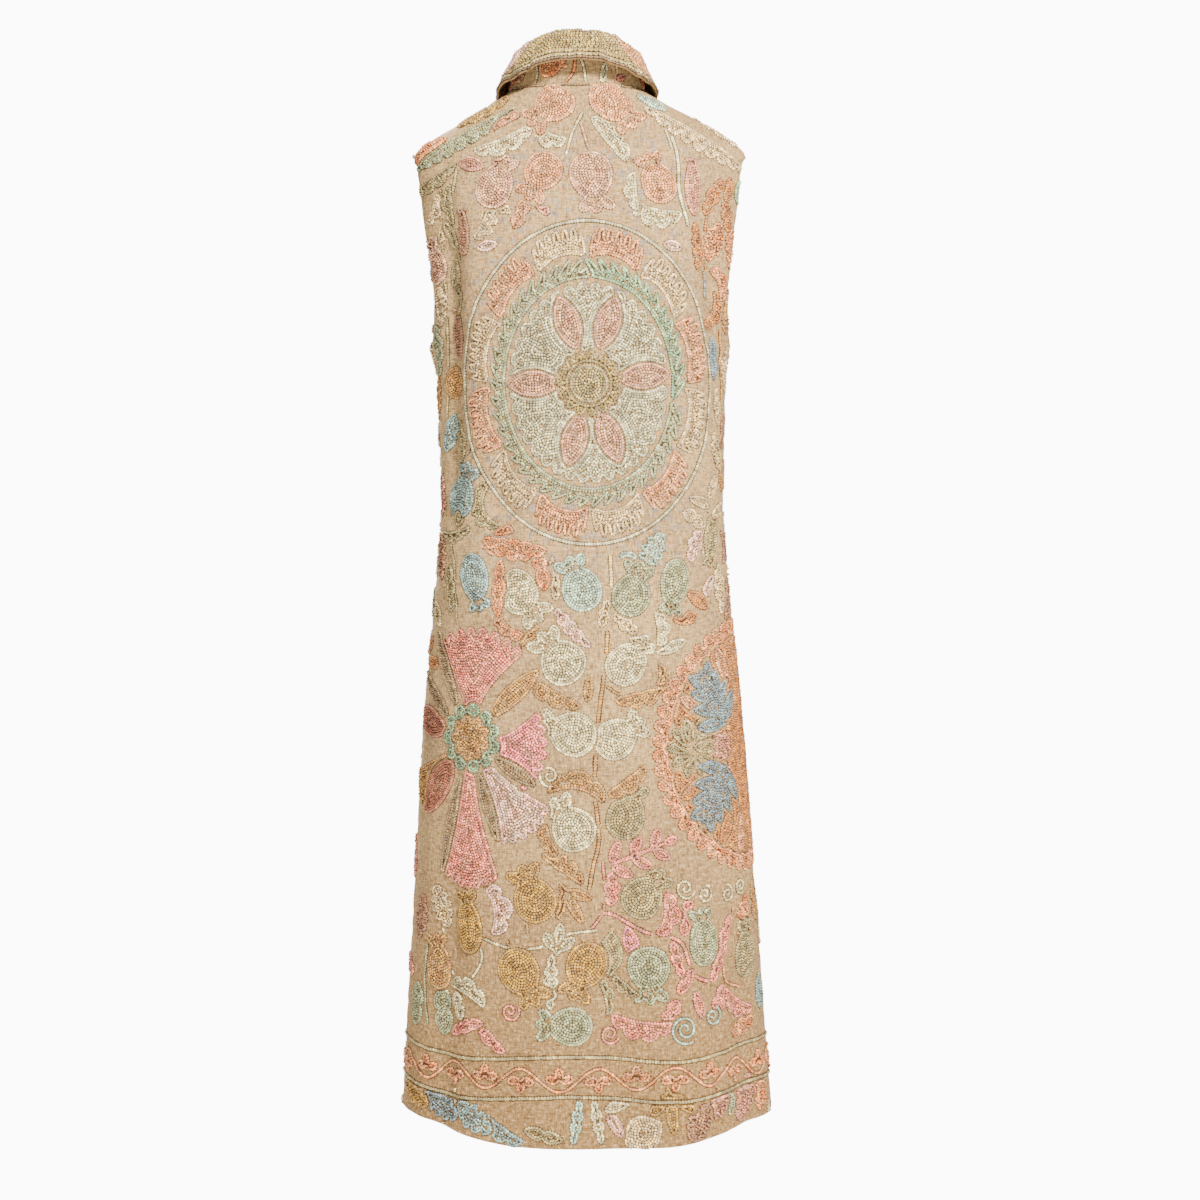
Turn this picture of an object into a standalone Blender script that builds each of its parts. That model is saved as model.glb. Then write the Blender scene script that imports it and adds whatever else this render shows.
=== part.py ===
"""Long sleeveless waistcoat of heavy embroidered cloth, in the hollow shape that it has when worn.

A maker cuts a back, two fronts and a turned-down collar. The back and fronts are walls laid out on one
body surface, which is lofted through level rings, so that they meet at the side and shoulder seams. The
collar is a wall that stands up from the neck seam and turns down over itself.

Metres, +Z up. The origin is level with the tops of the shoulder seams, in the middle of the neck. The
wearer faces +Y, so the back is at -Y and the wearer's right is at +X.
"""

import functools
import math
from bisect import bisect_left
from collections import namedtuple

import bmesh
import bpy
from mathutils import Vector

# ---------------------------------------------------------------- driving dimensions
CLOTH = 0.0022  # one layer of embroidered cloth
COLLAR_CLOTH = 0.0030  # two layers, bagged out at the edge
SEAM_GAP = 0.0003  # between the walls of two pieces that are sewn together

HEM = -1.132  # the hem at the side seams, halfway between the left one and the right one
HEM_TILT = 0.003  # how much lower it hangs than that at the wearer's right side, and higher at the left
HEM_DIP = 0.0150  # how much lower the hem hangs in the middle of the back and of the fronts
DIP_WHOLE = 0.25  # the hem is lowest within this share of the way from the middle to a side seam
DIP_NONE = 0.75  # and has no dip beyond this share
UNDERARM = -0.290  # the foot of the armholes
SHOULDER_TIP = -0.072  # the outer end of the shoulder seams
NAPE = -0.004  # the neck seam at the centre back
THROAT = -0.078  # the neck seam at the front edges
NECK_HALF_WIDTH = 0.077
NECK_ROUNDNESS = 1.6  # how late the front neckline drops
ARMHOLE_BACK = 0.046  # how far the armhole is scooped into the back, seen from the side
ARMHOLE_FRONT = 0.056
OPEN_AT_NECK = 0.007  # half of the gap between the two fronts
OPEN_AT_HEM = 0.024

# Level sections through the body: half width at the side seams, the half width that the rounder back and
# front have there, depth behind and before the side seams, how square the section is (2 is an ellipse), and
# how far it sways to the wearer's right.
Ring = namedtuple("Ring", "height half_width round_width back front square sway")
RINGS = (
    Ring(0.020, 0.058, 0.058, 0.054, 0.036, 2.0, -0.0040),
    Ring(0.000, 0.077, 0.077, 0.067, 0.046, 2.0, -0.0035),
    Ring(-0.024, 0.117, 0.112, 0.078, 0.055, 2.05, 0.0005),
    Ring(-0.048, 0.158, 0.144, 0.089, 0.064, 2.1, 0.0010),
    Ring(-0.072, 0.187, 0.166, 0.097, 0.072, 2.2, -0.0005),
    Ring(-0.110, 0.187, 0.180, 0.107, 0.084, 2.35, -0.0010),
    Ring(-0.180, 0.176, 0.1755, 0.1175, 0.1070, 2.5, 0.0000),
    Ring(-0.240, 0.166, 0.1685, 0.1155, 0.1165, 2.5, 0.0010),
    Ring(-0.285, 0.168, 0.1640, 0.1120, 0.1200, 2.45, 0.0010),
    Ring(-0.310, 0.162, 0.1620, 0.1093, 0.1203, 2.42, 0.0013),
    Ring(-0.370, 0.160, 0.1595, 0.1030, 0.1178, 2.35, 0.0020),
    Ring(-0.457, 0.158, 0.1580, 0.0985, 0.1125, 2.3, 0.0025),
    Ring(-0.560, 0.165, 0.165, 0.1140, 0.1165, 2.3, 0.0025),
    Ring(-0.700, 0.178, 0.178, 0.132, 0.128, 2.3, 0.0030),
    Ring(-0.860, 0.189, 0.189, 0.141, 0.136, 2.25, 0.0045),
    Ring(-1.020, 0.200, 0.200, 0.147, 0.141, 2.2, 0.0060),
    Ring(-1.160, 0.209, 0.209, 0.152, 0.146, 2.2, 0.0080),
)
ROUND_FROM = 0.45  # the sine of the angle from the side seam where the round half width holds wholly

# Drape folds. across is the distance round the body from the centre back, to the wearer's right, at the
# fold's top and foot. depth is outward for a ridge and inward, below zero, for a trough.
Fold = namedtuple("Fold", "top foot across_top across_foot width depth")
FOLDS = (
    Fold(-0.075, -0.520, -0.146, -0.158, 0.015, -0.0090),  # left shoulder blade to waist
    Fold(-0.110, -0.560, -0.112, -0.122, 0.020, 0.0035),
    Fold(-0.330, -0.600, -0.084, -0.098, 0.016, -0.0030),
    Fold(-0.085, -0.330, 0.132, 0.166, 0.016, -0.0075),  # right shoulder tip to armhole
    Fold(-0.200, -0.560, 0.136, 0.140, 0.018, 0.0030),
    Fold(-0.780, -1.220, 0.028, 0.040, 0.024, -0.0085),  # skirt of the back
    Fold(-0.860, -1.220, -0.040, -0.052, 0.030, 0.0050),
    Fold(-0.840, -1.220, 0.104, 0.112, 0.028, 0.0050),
    Fold(-0.800, -1.220, -0.150, -0.172, 0.022, -0.0080),
    Fold(-0.900, -1.220, 0.180, 0.196, 0.022, -0.0060),
    Fold(-0.700, -1.220, 0.300, 0.318, 0.026, -0.0080),  # skirts of the fronts
    Fold(-0.760, -1.220, 0.356, 0.384, 0.026, 0.0060),
    Fold(-0.740, -1.220, -0.292, -0.306, 0.026, -0.0080),
    Fold(-0.780, -1.220, -0.352, -0.376, 0.026, 0.0060),
    Fold(-0.270, -0.560, 0.322, 0.306, 0.020, -0.0040),  # bust to waist of the fronts
    Fold(-0.270, -0.560, -0.322, -0.306, 0.020, -0.0040),
)

# The collar's section from the centre back (around 0) to the front edge (around 1): its fold line and the
# outer edge of its fall, each out from the neck seam and up from it, and how far the outer edge swings
# towards the shoulder.
CollarSection = namedtuple("CollarSection", "around fold_out fold_up edge_out edge_up swing")
COLLAR = (
    CollarSection(0.00, 0.0010, 0.0575, 0.0195, 0.0220, 0.000),
    CollarSection(0.08, 0.0008, 0.0572, 0.0194, 0.0215, 0.000),
    CollarSection(0.25, -0.0020, 0.0475, 0.0175, 0.0095, 0.000),
    CollarSection(0.48, -0.0075, 0.0350, 0.0145, -0.0015, 0.000),
    CollarSection(0.62, -0.0050, 0.0300, 0.0155, -0.0060, 0.002),
    CollarSection(0.80, 0.0000, 0.0260, 0.0165, -0.0190, 0.008),
    CollarSection(1.00, 0.0030, 0.0230, 0.0190, -0.0400, 0.020),
)
FOLD_RADIUS = 0.0042  # of the collar's outer face where it turns down
FOLD_FADE = 0.35  # the share of a fold's length, at each end, over which it dies away

# How finely the walls are divided.
SKIRT_ROWS = 22
SKIRT_CLOSENESS = 1.3  # how the rows draw together towards the underarm; 1 is even
ARMHOLE_ROWS = 9
SHOULDER_ROWS = 5
BACK_COLUMNS = 32
FRONT_COLUMNS = 14
STAND_STEPS = 4
TURN_STEPS = 4
FALL_STEPS = 3
RING_STEPS = 96  # samples of half a ring, for its length
STEP = 0.0004  # for the slope of the surface
BESIDE = 0.004  # for the direction of a ring

# ---------------------------------------------------------------- curves through tables


def slopes(places, values):
    """Slopes of a curve through the values that never overshoots them."""
    rates = [
        (values[i + 1] - values[i]) / (places[i + 1] - places[i])
        for i in range(len(places) - 1)
    ]
    inner = [
        0.0 if a * b <= 0 else 2 * a * b / (a + b) for a, b in zip(rates, rates[1:])
    ]
    return [rates[0], *inner, rates[-1]]


class Curve:
    """A smooth curve through one column of a table."""

    def __init__(self, table, place, value):
        rows = sorted(table, key=lambda row: getattr(row, place))
        self.places = [getattr(row, place) for row in rows]
        self.values = [getattr(row, value) for row in rows]
        self.slopes = slopes(self.places, self.values)

    def __call__(self, place):
        place = min(max(place, self.places[0]), self.places[-1])
        i = 0
        while i < len(self.places) - 2 and place > self.places[i + 1]:
            i += 1
        span = self.places[i + 1] - self.places[i]
        t = (place - self.places[i]) / span
        return (
            (1 + 2 * t) * (1 - t) ** 2 * self.values[i]
            + t * (1 - t) ** 2 * span * self.slopes[i]
            + t * t * (3 - 2 * t) * self.values[i + 1]
            - t * t * (1 - t) * span * self.slopes[i + 1]
        )


HALF_WIDTH = Curve(RINGS, "height", "half_width")
ROUND_WIDTH = Curve(RINGS, "height", "round_width")
BACK = Curve(RINGS, "height", "back")
FRONT = Curve(RINGS, "height", "front")
SQUARE = Curve(RINGS, "height", "square")
SWAY = Curve(RINGS, "height", "sway")


def mix(a, b, share):
    return a + (b - a) * share


def ease(share):
    """From 0 to 1, with no slope at either end."""
    share = min(max(share, 0.0), 1.0)
    return share * share * (3 - 2 * share)


def look_up(value, keys, results):
    """The result that goes with a value, by straight lines between rising keys."""
    i = bisect_left(keys, value)
    if i == 0:
        return results[0]
    if i == len(keys):
        return results[-1]
    return mix(results[i - 1], results[i], (value - keys[i - 1]) / (keys[i] - keys[i - 1]))


# ---------------------------------------------------------------- the body surface


def on_ring(height, angle):
    """A point of the bare ring. Angle 0 is the side seam and 90 degrees the centre front."""
    depth = FRONT(height) if angle > 0 else BACK(height)
    away = ease(abs(math.sin(angle)) / ROUND_FROM)
    half_width = mix(HALF_WIDTH(height), ROUND_WIDTH(height), away)
    square = SQUARE(height)
    radius = (
        abs(math.cos(angle) / half_width) ** square
        + abs(math.sin(angle) / depth) ** square
    ) ** (-1 / square)
    return radius * math.cos(angle), radius * math.sin(angle)


@functools.lru_cache(maxsize=None)
def half_ring(height):
    """Half a ring from the centre back to the centre front: distances round it, x and y."""
    points = [
        on_ring(height, math.pi * (i / RING_STEPS - 0.5)) for i in range(RING_STEPS + 1)
    ]
    arcs = [0.0]
    for a, b in zip(points, points[1:]):
        arcs.append(arcs[-1] + math.dist(a, b))
    return arcs, [p[0] for p in points], [p[1] for p in points]


def round_to_depth(height, depth):
    """The distance round a ring at which it has come to this y."""
    arcs, _, ys = half_ring(height)
    return look_up(depth, ys, arcs)


def round_to_front(height):
    return half_ring(height)[0][-1]


def fold_depth(across, height):
    """How far the folds move the cloth outwards here."""
    total = 0.0
    for fold in FOLDS:
        share = (height - fold.top) / (fold.foot - fold.top)
        if 0 < share < 1:
            middle = mix(fold.across_top, fold.across_foot, share)
            strength = ease(share / FOLD_FADE) * ease((1 - share) / FOLD_FADE)
            total += (
                fold.depth
                * strength
                * math.exp(-(((across - middle) / fold.width) ** 2))
            )
    return total


def body_point(across, height):
    """The cloth's outer face at a distance round from the centre back, to the wearer's right if above 0."""
    side = -1 if across < 0 else 1
    arcs, xs, ys = half_ring(round(height, 6))
    x = look_up(abs(across), arcs, xs)
    y = look_up(abs(across), arcs, ys)
    ahead = min(abs(across) + BESIDE, arcs[-1])
    behind = ahead - 2 * BESIDE
    along = Vector(
        (
            look_up(ahead, arcs, xs) - look_up(behind, arcs, xs),
            look_up(ahead, arcs, ys) - look_up(behind, arcs, ys),
        )
    ).normalized()
    out = fold_depth(across, height)
    return Vector(
        (
            side * (x + out * along.y) + SWAY(height),
            y - out * along.x,
            height,
        )
    )


def body_normal(across, height):
    """The outward normal of the body surface."""
    sideways = body_point(across + 4 * STEP, height) - body_point(
        across - 4 * STEP, height
    )
    upwards = body_point(across, height + STEP) - body_point(across, height - STEP)
    return sideways.cross(upwards).normalized()


# ---------------------------------------------------------------- where the pieces end


def armhole_edge(height, scoop):
    """The y of an armhole's edge: an oval from the underarm to the shoulder tip."""
    middle = (UNDERARM + SHOULDER_TIP) / 2
    half = (SHOULDER_TIP - UNDERARM) / 2
    reach = (height - middle) / half
    return scoop * math.sqrt(max(0.0, 1 - reach * reach))


def hang(height):
    """How much of the hem's dip and tilt a row shares: 0 at the underarm and above it, 1 at the hem."""
    return ease((UNDERARM - height) / (UNDERARM - HEM))


def row_heights():
    """The heights of the rows at the pieces' outer edges, from the hem to the tops of the shoulders."""
    skirt = [
        mix(UNDERARM, HEM, (1 - i / SKIRT_ROWS) ** SKIRT_CLOSENESS) for i in range(SKIRT_ROWS)
    ]
    middle = (UNDERARM + SHOULDER_TIP) / 2
    half = (SHOULDER_TIP - UNDERARM) / 2
    armhole = [
        middle - half * math.cos(math.pi * i / ARMHOLE_ROWS)
        for i in range(ARMHOLE_ROWS)
    ]
    shoulder = [
        mix(SHOULDER_TIP, 0.0, i / SHOULDER_ROWS) for i in range(SHOULDER_ROWS + 1)
    ]
    return skirt + armhole + shoulder


def hem_dip(share):
    """The hem's dip at a share of the way from the middle of the back or the front to a side seam."""
    return HEM_DIP * (1 - ease((share - DIP_WHOLE) / (DIP_NONE - DIP_WHOLE)))


def raised(height):
    """0 at the underarm and below it, 1 at the neck."""
    return max(0.0, (height - UNDERARM) / -UNDERARM)


def back_place(share, height):
    """Where a back column lies on a row: share -1 is the left edge and 1 the right one."""
    edge = (
        round_to_depth(height, -armhole_edge(height, ARMHOLE_BACK)) - SEAM_GAP / 2
    )
    here = (
        height
        - hang(height) * (hem_dip(abs(share)) + HEM_TILT * share)
        + raised(height) * NAPE * math.cos(share * math.pi / 2) ** 2
    )
    here_edge = (
        edge if height > UNDERARM else round_to_depth(here, 0.0) - SEAM_GAP / 2
    )
    return share * here_edge, here


def neck_place(share):
    """The front neck seam from the shoulder (share 0) to the front edge (share 1).

    It gives the distance round from the centre front, and the height.
    """
    turn = share * math.pi / 2
    height = THROAT * math.sin(turn) ** NECK_ROUNDNESS
    x = mix(OPEN_AT_NECK, NECK_HALF_WIDTH, math.cos(turn))
    arcs, xs, _ = half_ring(round(height, 6))
    quarter = RING_STEPS // 2
    fronts = list(reversed(xs[quarter:]))
    distances = [arcs[-1] - a for a in reversed(arcs[quarter:])]
    return look_up(x, fronts, distances), height


def front_width(height):
    """The distance round the body from the centre front to the side or armhole edge."""
    edge = round_to_depth(height, armhole_edge(height, ARMHOLE_FRONT))
    return round_to_front(height) - edge - SEAM_GAP / 2


def front_place(share, height, side):
    """Where a front column lies on a row: share 0 is the side or armhole edge and 1 the front edge.

    side is 1 on the wearer's right and -1 on the left.
    """
    if height <= UNDERARM:
        drop = hem_dip(1 - share) + HEM_TILT * side * (1 - share)
        here = height - hang(height) * drop
        opening = mix(OPEN_AT_NECK, OPEN_AT_HEM, ease(height / HEM))
        return round_to_front(here) - mix(front_width(here), opening, share), here
    lift = raised(height)
    neck, neck_height = neck_place(share)
    here = mix(UNDERARM, neck_height, lift)
    opening = mix(OPEN_AT_NECK, OPEN_AT_HEM, ease(UNDERARM / HEM))
    foot = mix(front_width(UNDERARM), opening, share)
    straight_edge = mix(front_width(UNDERARM), neck_place(0.0)[0], lift)
    bend = (front_width(height) - straight_edge) * (1 - share) ** 2
    return round_to_front(here) - mix(foot, neck, lift) - bend, here


# ---------------------------------------------------------------- walls


def wall(name, faces, thicknesses, material, collection):
    """A closed wall from rows of (outer point, outward normal).

    It is a grid that is bent to the points and extruded inwards. Two pieces that meet at a seam take
    their thickness along the same normals there, so that the seam's two edges stay parallel and a seam
    gap apart.
    """
    columns = len(faces[0])
    mesh = bmesh.new()
    bmesh.ops.create_grid(
        mesh, x_segments=columns - 1, y_segments=len(faces) - 1, size=1
    )
    place = mesh.verts.layers.int.new("place")
    mesh.verts.ensure_lookup_table()
    for i, vert in enumerate(mesh.verts):
        vert[place] = i
        vert.co = faces[i // columns][i % columns][0]
    inside = bmesh.ops.extrude_face_region(
        mesh, geom=mesh.faces[:], use_keep_orig=True
    )["geom"]
    for vert in inside:
        if isinstance(vert, bmesh.types.BMVert):
            row, column = divmod(vert[place], columns)
            vert.co -= faces[row][column][1] * thicknesses[row]
    bmesh.ops.recalc_face_normals(mesh, faces=mesh.faces[:])
    mesh.verts.layers.int.remove(place)
    data = bpy.data.meshes.new(name)
    mesh.to_mesh(data)
    mesh.free()
    data.shade_smooth()
    data.set_sharp_from_angle(angle=math.radians(50))
    data.materials.append(material)
    piece = bpy.data.objects.new(name, data)
    collection.objects.link(piece)
    return piece


def body_face(across, height):
    return body_point(across, height), body_normal(across, height)


def back_faces():
    shares = [2 * i / BACK_COLUMNS - 1 for i in range(BACK_COLUMNS + 1)]
    return [
        [body_face(*back_place(share, height)) for share in shares]
        for height in row_heights()
    ]


def front_faces(side):
    """The wearer's right front for side 1 and left front for side -1."""
    shares = [i / FRONT_COLUMNS for i in range(FRONT_COLUMNS + 1)]
    rows = []
    for height in row_heights():
        places = [front_place(share, height, side) for share in shares]
        rows.append([body_face(side * across, here) for across, here in places])
    return rows


# ---------------------------------------------------------------- the collar

FOLD_OUT = Curve(COLLAR, "around", "fold_out")
FOLD_UP = Curve(COLLAR, "around", "fold_up")
EDGE_OUT = Curve(COLLAR, "around", "edge_out")
EDGE_UP = Curve(COLLAR, "around", "edge_up")
SWING = Curve(COLLAR, "around", "swing")


def collar_section(seam, normal, along, around):
    """(outer point, outward normal) from the neck seam, up the stand, over the fold and down the fall.

    The face that is listed shows outside on the fall. On the stand it is the one towards the neck.
    along is the direction of the neck seam here, towards the wearer's right.
    """
    out = Vector((normal.x, normal.y, 0)).normalized()
    up = Vector((0, 0, 1))
    rise = normal.cross(along).normalized()
    aside = Vector((along.x, along.y, 0)).normalized()
    aside *= -math.copysign(SWING(around), seam.x)
    fold = seam + out * FOLD_OUT(around) + up * FOLD_UP(around)
    edge = seam + out * EDGE_OUT(around) + up * EDGE_UP(around) + aside
    foot = seam + rise * SEAM_GAP - normal * CLOTH
    stand_top = fold - up * FOLD_RADIUS - out * FOLD_RADIUS
    faces = []
    for i in range(STAND_STEPS):
        share = i / STAND_STEPS
        spot = foot.lerp(stand_top, share)
        facing = (-normal).lerp(-out, ease(share * 1.5))
        faces.append((spot, facing.normalized()))
    centre = fold - up * FOLD_RADIUS
    fall = edge - (centre + out * FOLD_RADIUS)
    fall_out = out.cross(up).cross(fall).normalized()
    last = math.atan2(fall_out.dot(up), fall_out.dot(out))
    for i in range(TURN_STEPS + 1):
        turn = mix(math.pi, last, i / TURN_STEPS)
        facing = out * math.cos(turn) + up * math.sin(turn)
        faces.append((centre + facing * FOLD_RADIUS, facing))
    start = faces[-1][0]
    for i in range(1, FALL_STEPS + 1):
        faces.append((start.lerp(edge, i / FALL_STEPS), fall_out))
    return faces


def neck_stations():
    """(seam point, body normal, seam's direction, around) along the neck seam.

    They run from the left front edge, round the back, to the right front edge.
    """
    top = row_heights()[-1]
    fronts = []
    for i in range(1, FRONT_COLUMNS + 1):
        share = i / FRONT_COLUMNS
        across, height = front_place(share, top, 1)
        fronts.append((across, height, mix(0.5, 1.0, share)))
    backs = []
    for i in range(BACK_COLUMNS + 1):
        share = 2 * i / BACK_COLUMNS - 1
        backs.append((*back_place(share, top), abs(share) / 2))
    lefts = [(-across, height, around) for across, height, around in reversed(fronts)]
    stations = []
    for across, height, around in lefts + backs + fronts:
        stations.append((*body_face(across, height), around))
    last = len(stations) - 1
    stations_along = []
    for i, (seam, normal, around) in enumerate(stations):
        along = stations[min(i + 1, last)][0] - stations[max(i - 1, 0)][0]
        stations_along.append((seam, normal, along.normalized(), around))
    return stations_along


def collar_faces():
    sections = [collar_section(*station) for station in neck_stations()]
    return [
        [section[i] for section in sections] for i in range(len(sections[0]))
    ]


def collar_thicknesses():
    """As thick as the body at the neck seam, and two layers above it."""
    rows = STAND_STEPS + TURN_STEPS + 1 + FALL_STEPS
    return [mix(CLOTH, COLLAR_CLOTH, min(1.0, i / 2)) for i in range(rows)]


# ---------------------------------------------------------------- materials and pieces


def cloth_material(name, colour, roughness):
    material = bpy.data.materials.new(name)
    material.use_nodes = True
    shader = material.node_tree.nodes["Principled BSDF"]
    shader.inputs["Base Color"].default_value = (*colour, 1)
    shader.inputs["Roughness"].default_value = roughness
    shader.inputs["Metallic"].default_value = 0.0
    return material


def main():
    for item in list(bpy.data.objects):
        bpy.data.objects.remove(item, do_unlink=True)
    garment = bpy.data.collections.new("embroidered_waistcoat")
    bpy.context.scene.collection.children.link(garment)
    body_cloth = cloth_material("embroidered_cloth", (0.52, 0.42, 0.31), 0.92)
    collar_cloth = cloth_material("collar_cloth", (0.56, 0.47, 0.34), 0.92)
    one_layer = [CLOTH] * len(row_heights())
    wall("back", back_faces(), one_layer, body_cloth, garment)
    wall("front_right", front_faces(1), one_layer, body_cloth, garment)
    wall("front_left", front_faces(-1), one_layer, body_cloth, garment)
    wall("collar", collar_faces(), collar_thicknesses(), collar_cloth, garment)


main()
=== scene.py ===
import math
from collections import namedtuple

import bmesh
import bpy
import numpy as np
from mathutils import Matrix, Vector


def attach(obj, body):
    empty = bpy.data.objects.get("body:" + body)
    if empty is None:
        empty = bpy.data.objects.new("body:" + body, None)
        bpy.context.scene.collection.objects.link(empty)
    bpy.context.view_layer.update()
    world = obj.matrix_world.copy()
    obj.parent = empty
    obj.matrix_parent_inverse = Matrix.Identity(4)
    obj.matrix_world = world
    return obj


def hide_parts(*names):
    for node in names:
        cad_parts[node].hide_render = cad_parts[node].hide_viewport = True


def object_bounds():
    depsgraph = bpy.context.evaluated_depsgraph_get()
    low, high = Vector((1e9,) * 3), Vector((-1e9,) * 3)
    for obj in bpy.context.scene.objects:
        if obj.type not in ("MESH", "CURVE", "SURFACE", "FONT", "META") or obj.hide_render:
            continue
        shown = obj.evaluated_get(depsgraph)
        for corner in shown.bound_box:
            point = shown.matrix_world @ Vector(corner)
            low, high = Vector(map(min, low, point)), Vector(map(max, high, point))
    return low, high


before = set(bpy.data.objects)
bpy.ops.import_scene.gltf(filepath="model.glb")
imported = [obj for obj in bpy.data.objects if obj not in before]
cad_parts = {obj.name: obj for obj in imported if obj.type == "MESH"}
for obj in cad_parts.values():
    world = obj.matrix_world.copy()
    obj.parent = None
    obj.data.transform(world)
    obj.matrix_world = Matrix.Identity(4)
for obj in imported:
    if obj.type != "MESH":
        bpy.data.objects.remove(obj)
cad_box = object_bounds()

# ---------------------------------------------------------------- the studio
# A wide pale floor below the worn waistcoat, under an even white sky. Behind and before it, a small bright
# lamp at the viewer's upper right casts hard shadows, and a faint one opposite fills them a little.

FLOOR_HEIGHT = -1.42
FLOOR_SIZE = 40.0
CAMERA_DISTANCE = 2.30
CAMERA_HEIGHT = -0.558
CAMERA_LENS = 61.26
CAMERA_SHIFT = (20 / 1200, -10 / 1200)
SKY_STRENGTH = 0.72
PAPER_GLOW = 11.0  # of the lit white paper behind and below, as the camera sees it
WARM = (1.0, 0.89, 0.72)

Lamp = namedtuple("Lamp", "name place size watts")
LAMPS = (
    Lamp("key_behind", (1.1, -2.7, 1.9), 0.6, 770),
    Lamp("fill_behind", (-1.6, -2.4, -0.2), 1.4, 10),
    Lamp("key_before", (-1.1, 2.7, 1.9), 0.6, 770),
    Lamp("fill_before", (1.6, 2.4, -0.2), 1.4, 10),
)


class Reading:
    """A number that a material works out, which sums can be written with."""

    def __init__(self, finish, socket):
        self.finish = finish
        self.socket = socket

    def maths(self, operation, *others):
        inputs = dict(enumerate((self, *others)))
        return self.finish.node("Math", {"operation": operation}, inputs)

    def __add__(self, other):
        return self.maths("ADD", other)

    def __sub__(self, other):
        return self.maths("SUBTRACT", other)

    def __rsub__(self, other):
        return self.finish.node("Math", {"operation": "SUBTRACT"}, {0: other, 1: self})

    def __mul__(self, other):
        return self.maths("MULTIPLY", other)

    __radd__ = __add__
    __rmul__ = __mul__

    def fraction(self):
        return self.maths("FRACT")

    def within(self, low, high):
        """0 below low and 1 above high, eased between them."""
        settings = {"interpolation_type": "SMOOTHSTEP"}
        return self.finish.node("MapRange", settings, {"Value": self, "From Min": low, "From Max": high})


class Finish:
    """A material, built from nodes that are added one call at a time."""

    def __init__(self, name, **constants):
        self.material = bpy.data.materials.new(name)
        self.material.use_nodes = True
        self.tree = self.material.node_tree
        self.shader = self.tree.nodes["Principled BSDF"]
        for socket, value in constants.items():
            self.shader.inputs[socket.replace("_", " ").title()].default_value = value

    def node(self, kind, settings=None, inputs=None, output=0):
        """Adds a node and gives the reading of one of its outputs."""
        node = self.tree.nodes.new("ShaderNode" + kind)
        for name, value in (settings or {}).items():
            setattr(node, name, value)
        for name, value in (inputs or {}).items():
            self.feed(node.inputs[name], value)
        return Reading(self, node.outputs[output])

    def feed(self, socket, value):
        if isinstance(value, Reading):
            self.tree.links.new(value.socket, socket)
        else:
            socket.default_value = value

    def mix(self, share, first, second):
        """A colour that goes from the first to the second as share goes from 0 to 1."""
        return self.node("Mix", {"data_type": "RGBA"}, {0: share, 6: first, 7: second}, output=2)

    def noise(self, place, scale, detail=2.0, roughness=0.5):
        inputs = {"Vector": place, "Scale": scale, "Detail": detail, "Roughness": roughness}
        return self.node("TexNoise", None, inputs)

    def stretched(self, place, scale):
        return self.node("Mapping", None, {"Vector": place, "Scale": scale})

    def finish(self, colour, bump=None, strength=1.0, distance=0.001):
        """Feeds the shader, and gives the material."""
        self.feed(self.shader.inputs["Base Color"], colour)
        if bump is not None:
            inputs = {"Height": bump, "Strength": strength, "Distance": distance}
            self.feed(self.shader.inputs["Normal"], self.node("Bump", None, inputs))
        return self.material


def dyed(red, green, blue, alpha=1.0):
    """A colour as it is read on a screen, from 0 to 255, as the linear one that shaders take."""
    linear = [((c / 255 + 0.055) / 1.055) ** 2.4 if c > 10 else c / 3295 for c in (red, green, blue)]
    return (*linear, alpha)


def object_of(name, mesh, *materials):
    """Turns a bmesh into a smooth object of the scene."""
    data = bpy.data.meshes.new(name)
    mesh.to_mesh(data)
    mesh.free()
    for material in materials:
        data.materials.append(material)
    data.shade_smooth()
    made = bpy.data.objects.new(name, data)
    bpy.context.scene.collection.objects.link(made)
    return made


floor_paint = Finish("floor_paint", roughness=0.9)
floor_grain = floor_paint.noise(floor_paint.node("TexCoord", None, None, 3), 6.0)
floor_material = floor_paint.finish(
    floor_paint.mix(floor_grain, dyed(238, 238, 240), dyed(241, 241, 242))
)
floor_mesh = bmesh.new()
bmesh.ops.create_grid(floor_mesh, x_segments=2, y_segments=2, size=FLOOR_SIZE / 2)
bmesh.ops.translate(floor_mesh, verts=floor_mesh.verts[:], vec=(0, 0, FLOOR_HEIGHT))
floor = object_of("floor", floor_mesh, floor_material)

camera_data = bpy.data.cameras.new("camera")
camera_data.lens = CAMERA_LENS
camera_data.shift_x, camera_data.shift_y = CAMERA_SHIFT
camera = bpy.data.objects.new("camera", camera_data)
camera.location = (0, -CAMERA_DISTANCE, CAMERA_HEIGHT)
camera.rotation_euler = (math.pi / 2, 0, 0)
bpy.context.scene.collection.objects.link(camera)
bpy.context.scene.camera = camera


def glow_to_camera(tree, lit, kind, output):
    """Lets the camera see bright white paper, while everything else is lit by the shader that is there."""
    glow = tree.nodes.new(kind)
    glow.inputs["Color"].default_value = (1, 1, 1, 1)
    glow.inputs["Strength"].default_value = PAPER_GLOW
    either = tree.nodes.new("ShaderNodeMixShader")
    ray = tree.nodes.new("ShaderNodeLightPath")
    tree.links.new(ray.outputs["Is Camera Ray"], either.inputs["Fac"])
    tree.links.new(lit.outputs[0], either.inputs[1])
    tree.links.new(glow.outputs[0], either.inputs[2])
    tree.links.new(either.outputs[0], tree.nodes[output].inputs["Surface"])


sky = bpy.data.worlds.new("sky")
sky.use_nodes = True
sky_light = sky.node_tree.nodes["Background"]
sky_light.inputs["Color"].default_value = (1.0, 0.97, 0.92, 1)
sky_light.inputs["Strength"].default_value = SKY_STRENGTH
glow_to_camera(sky.node_tree, sky_light, "ShaderNodeBackground", "World Output")
glow_to_camera(floor_paint.tree, floor_paint.shader, "ShaderNodeEmission", "Material Output")
bpy.context.scene.world = sky

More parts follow.
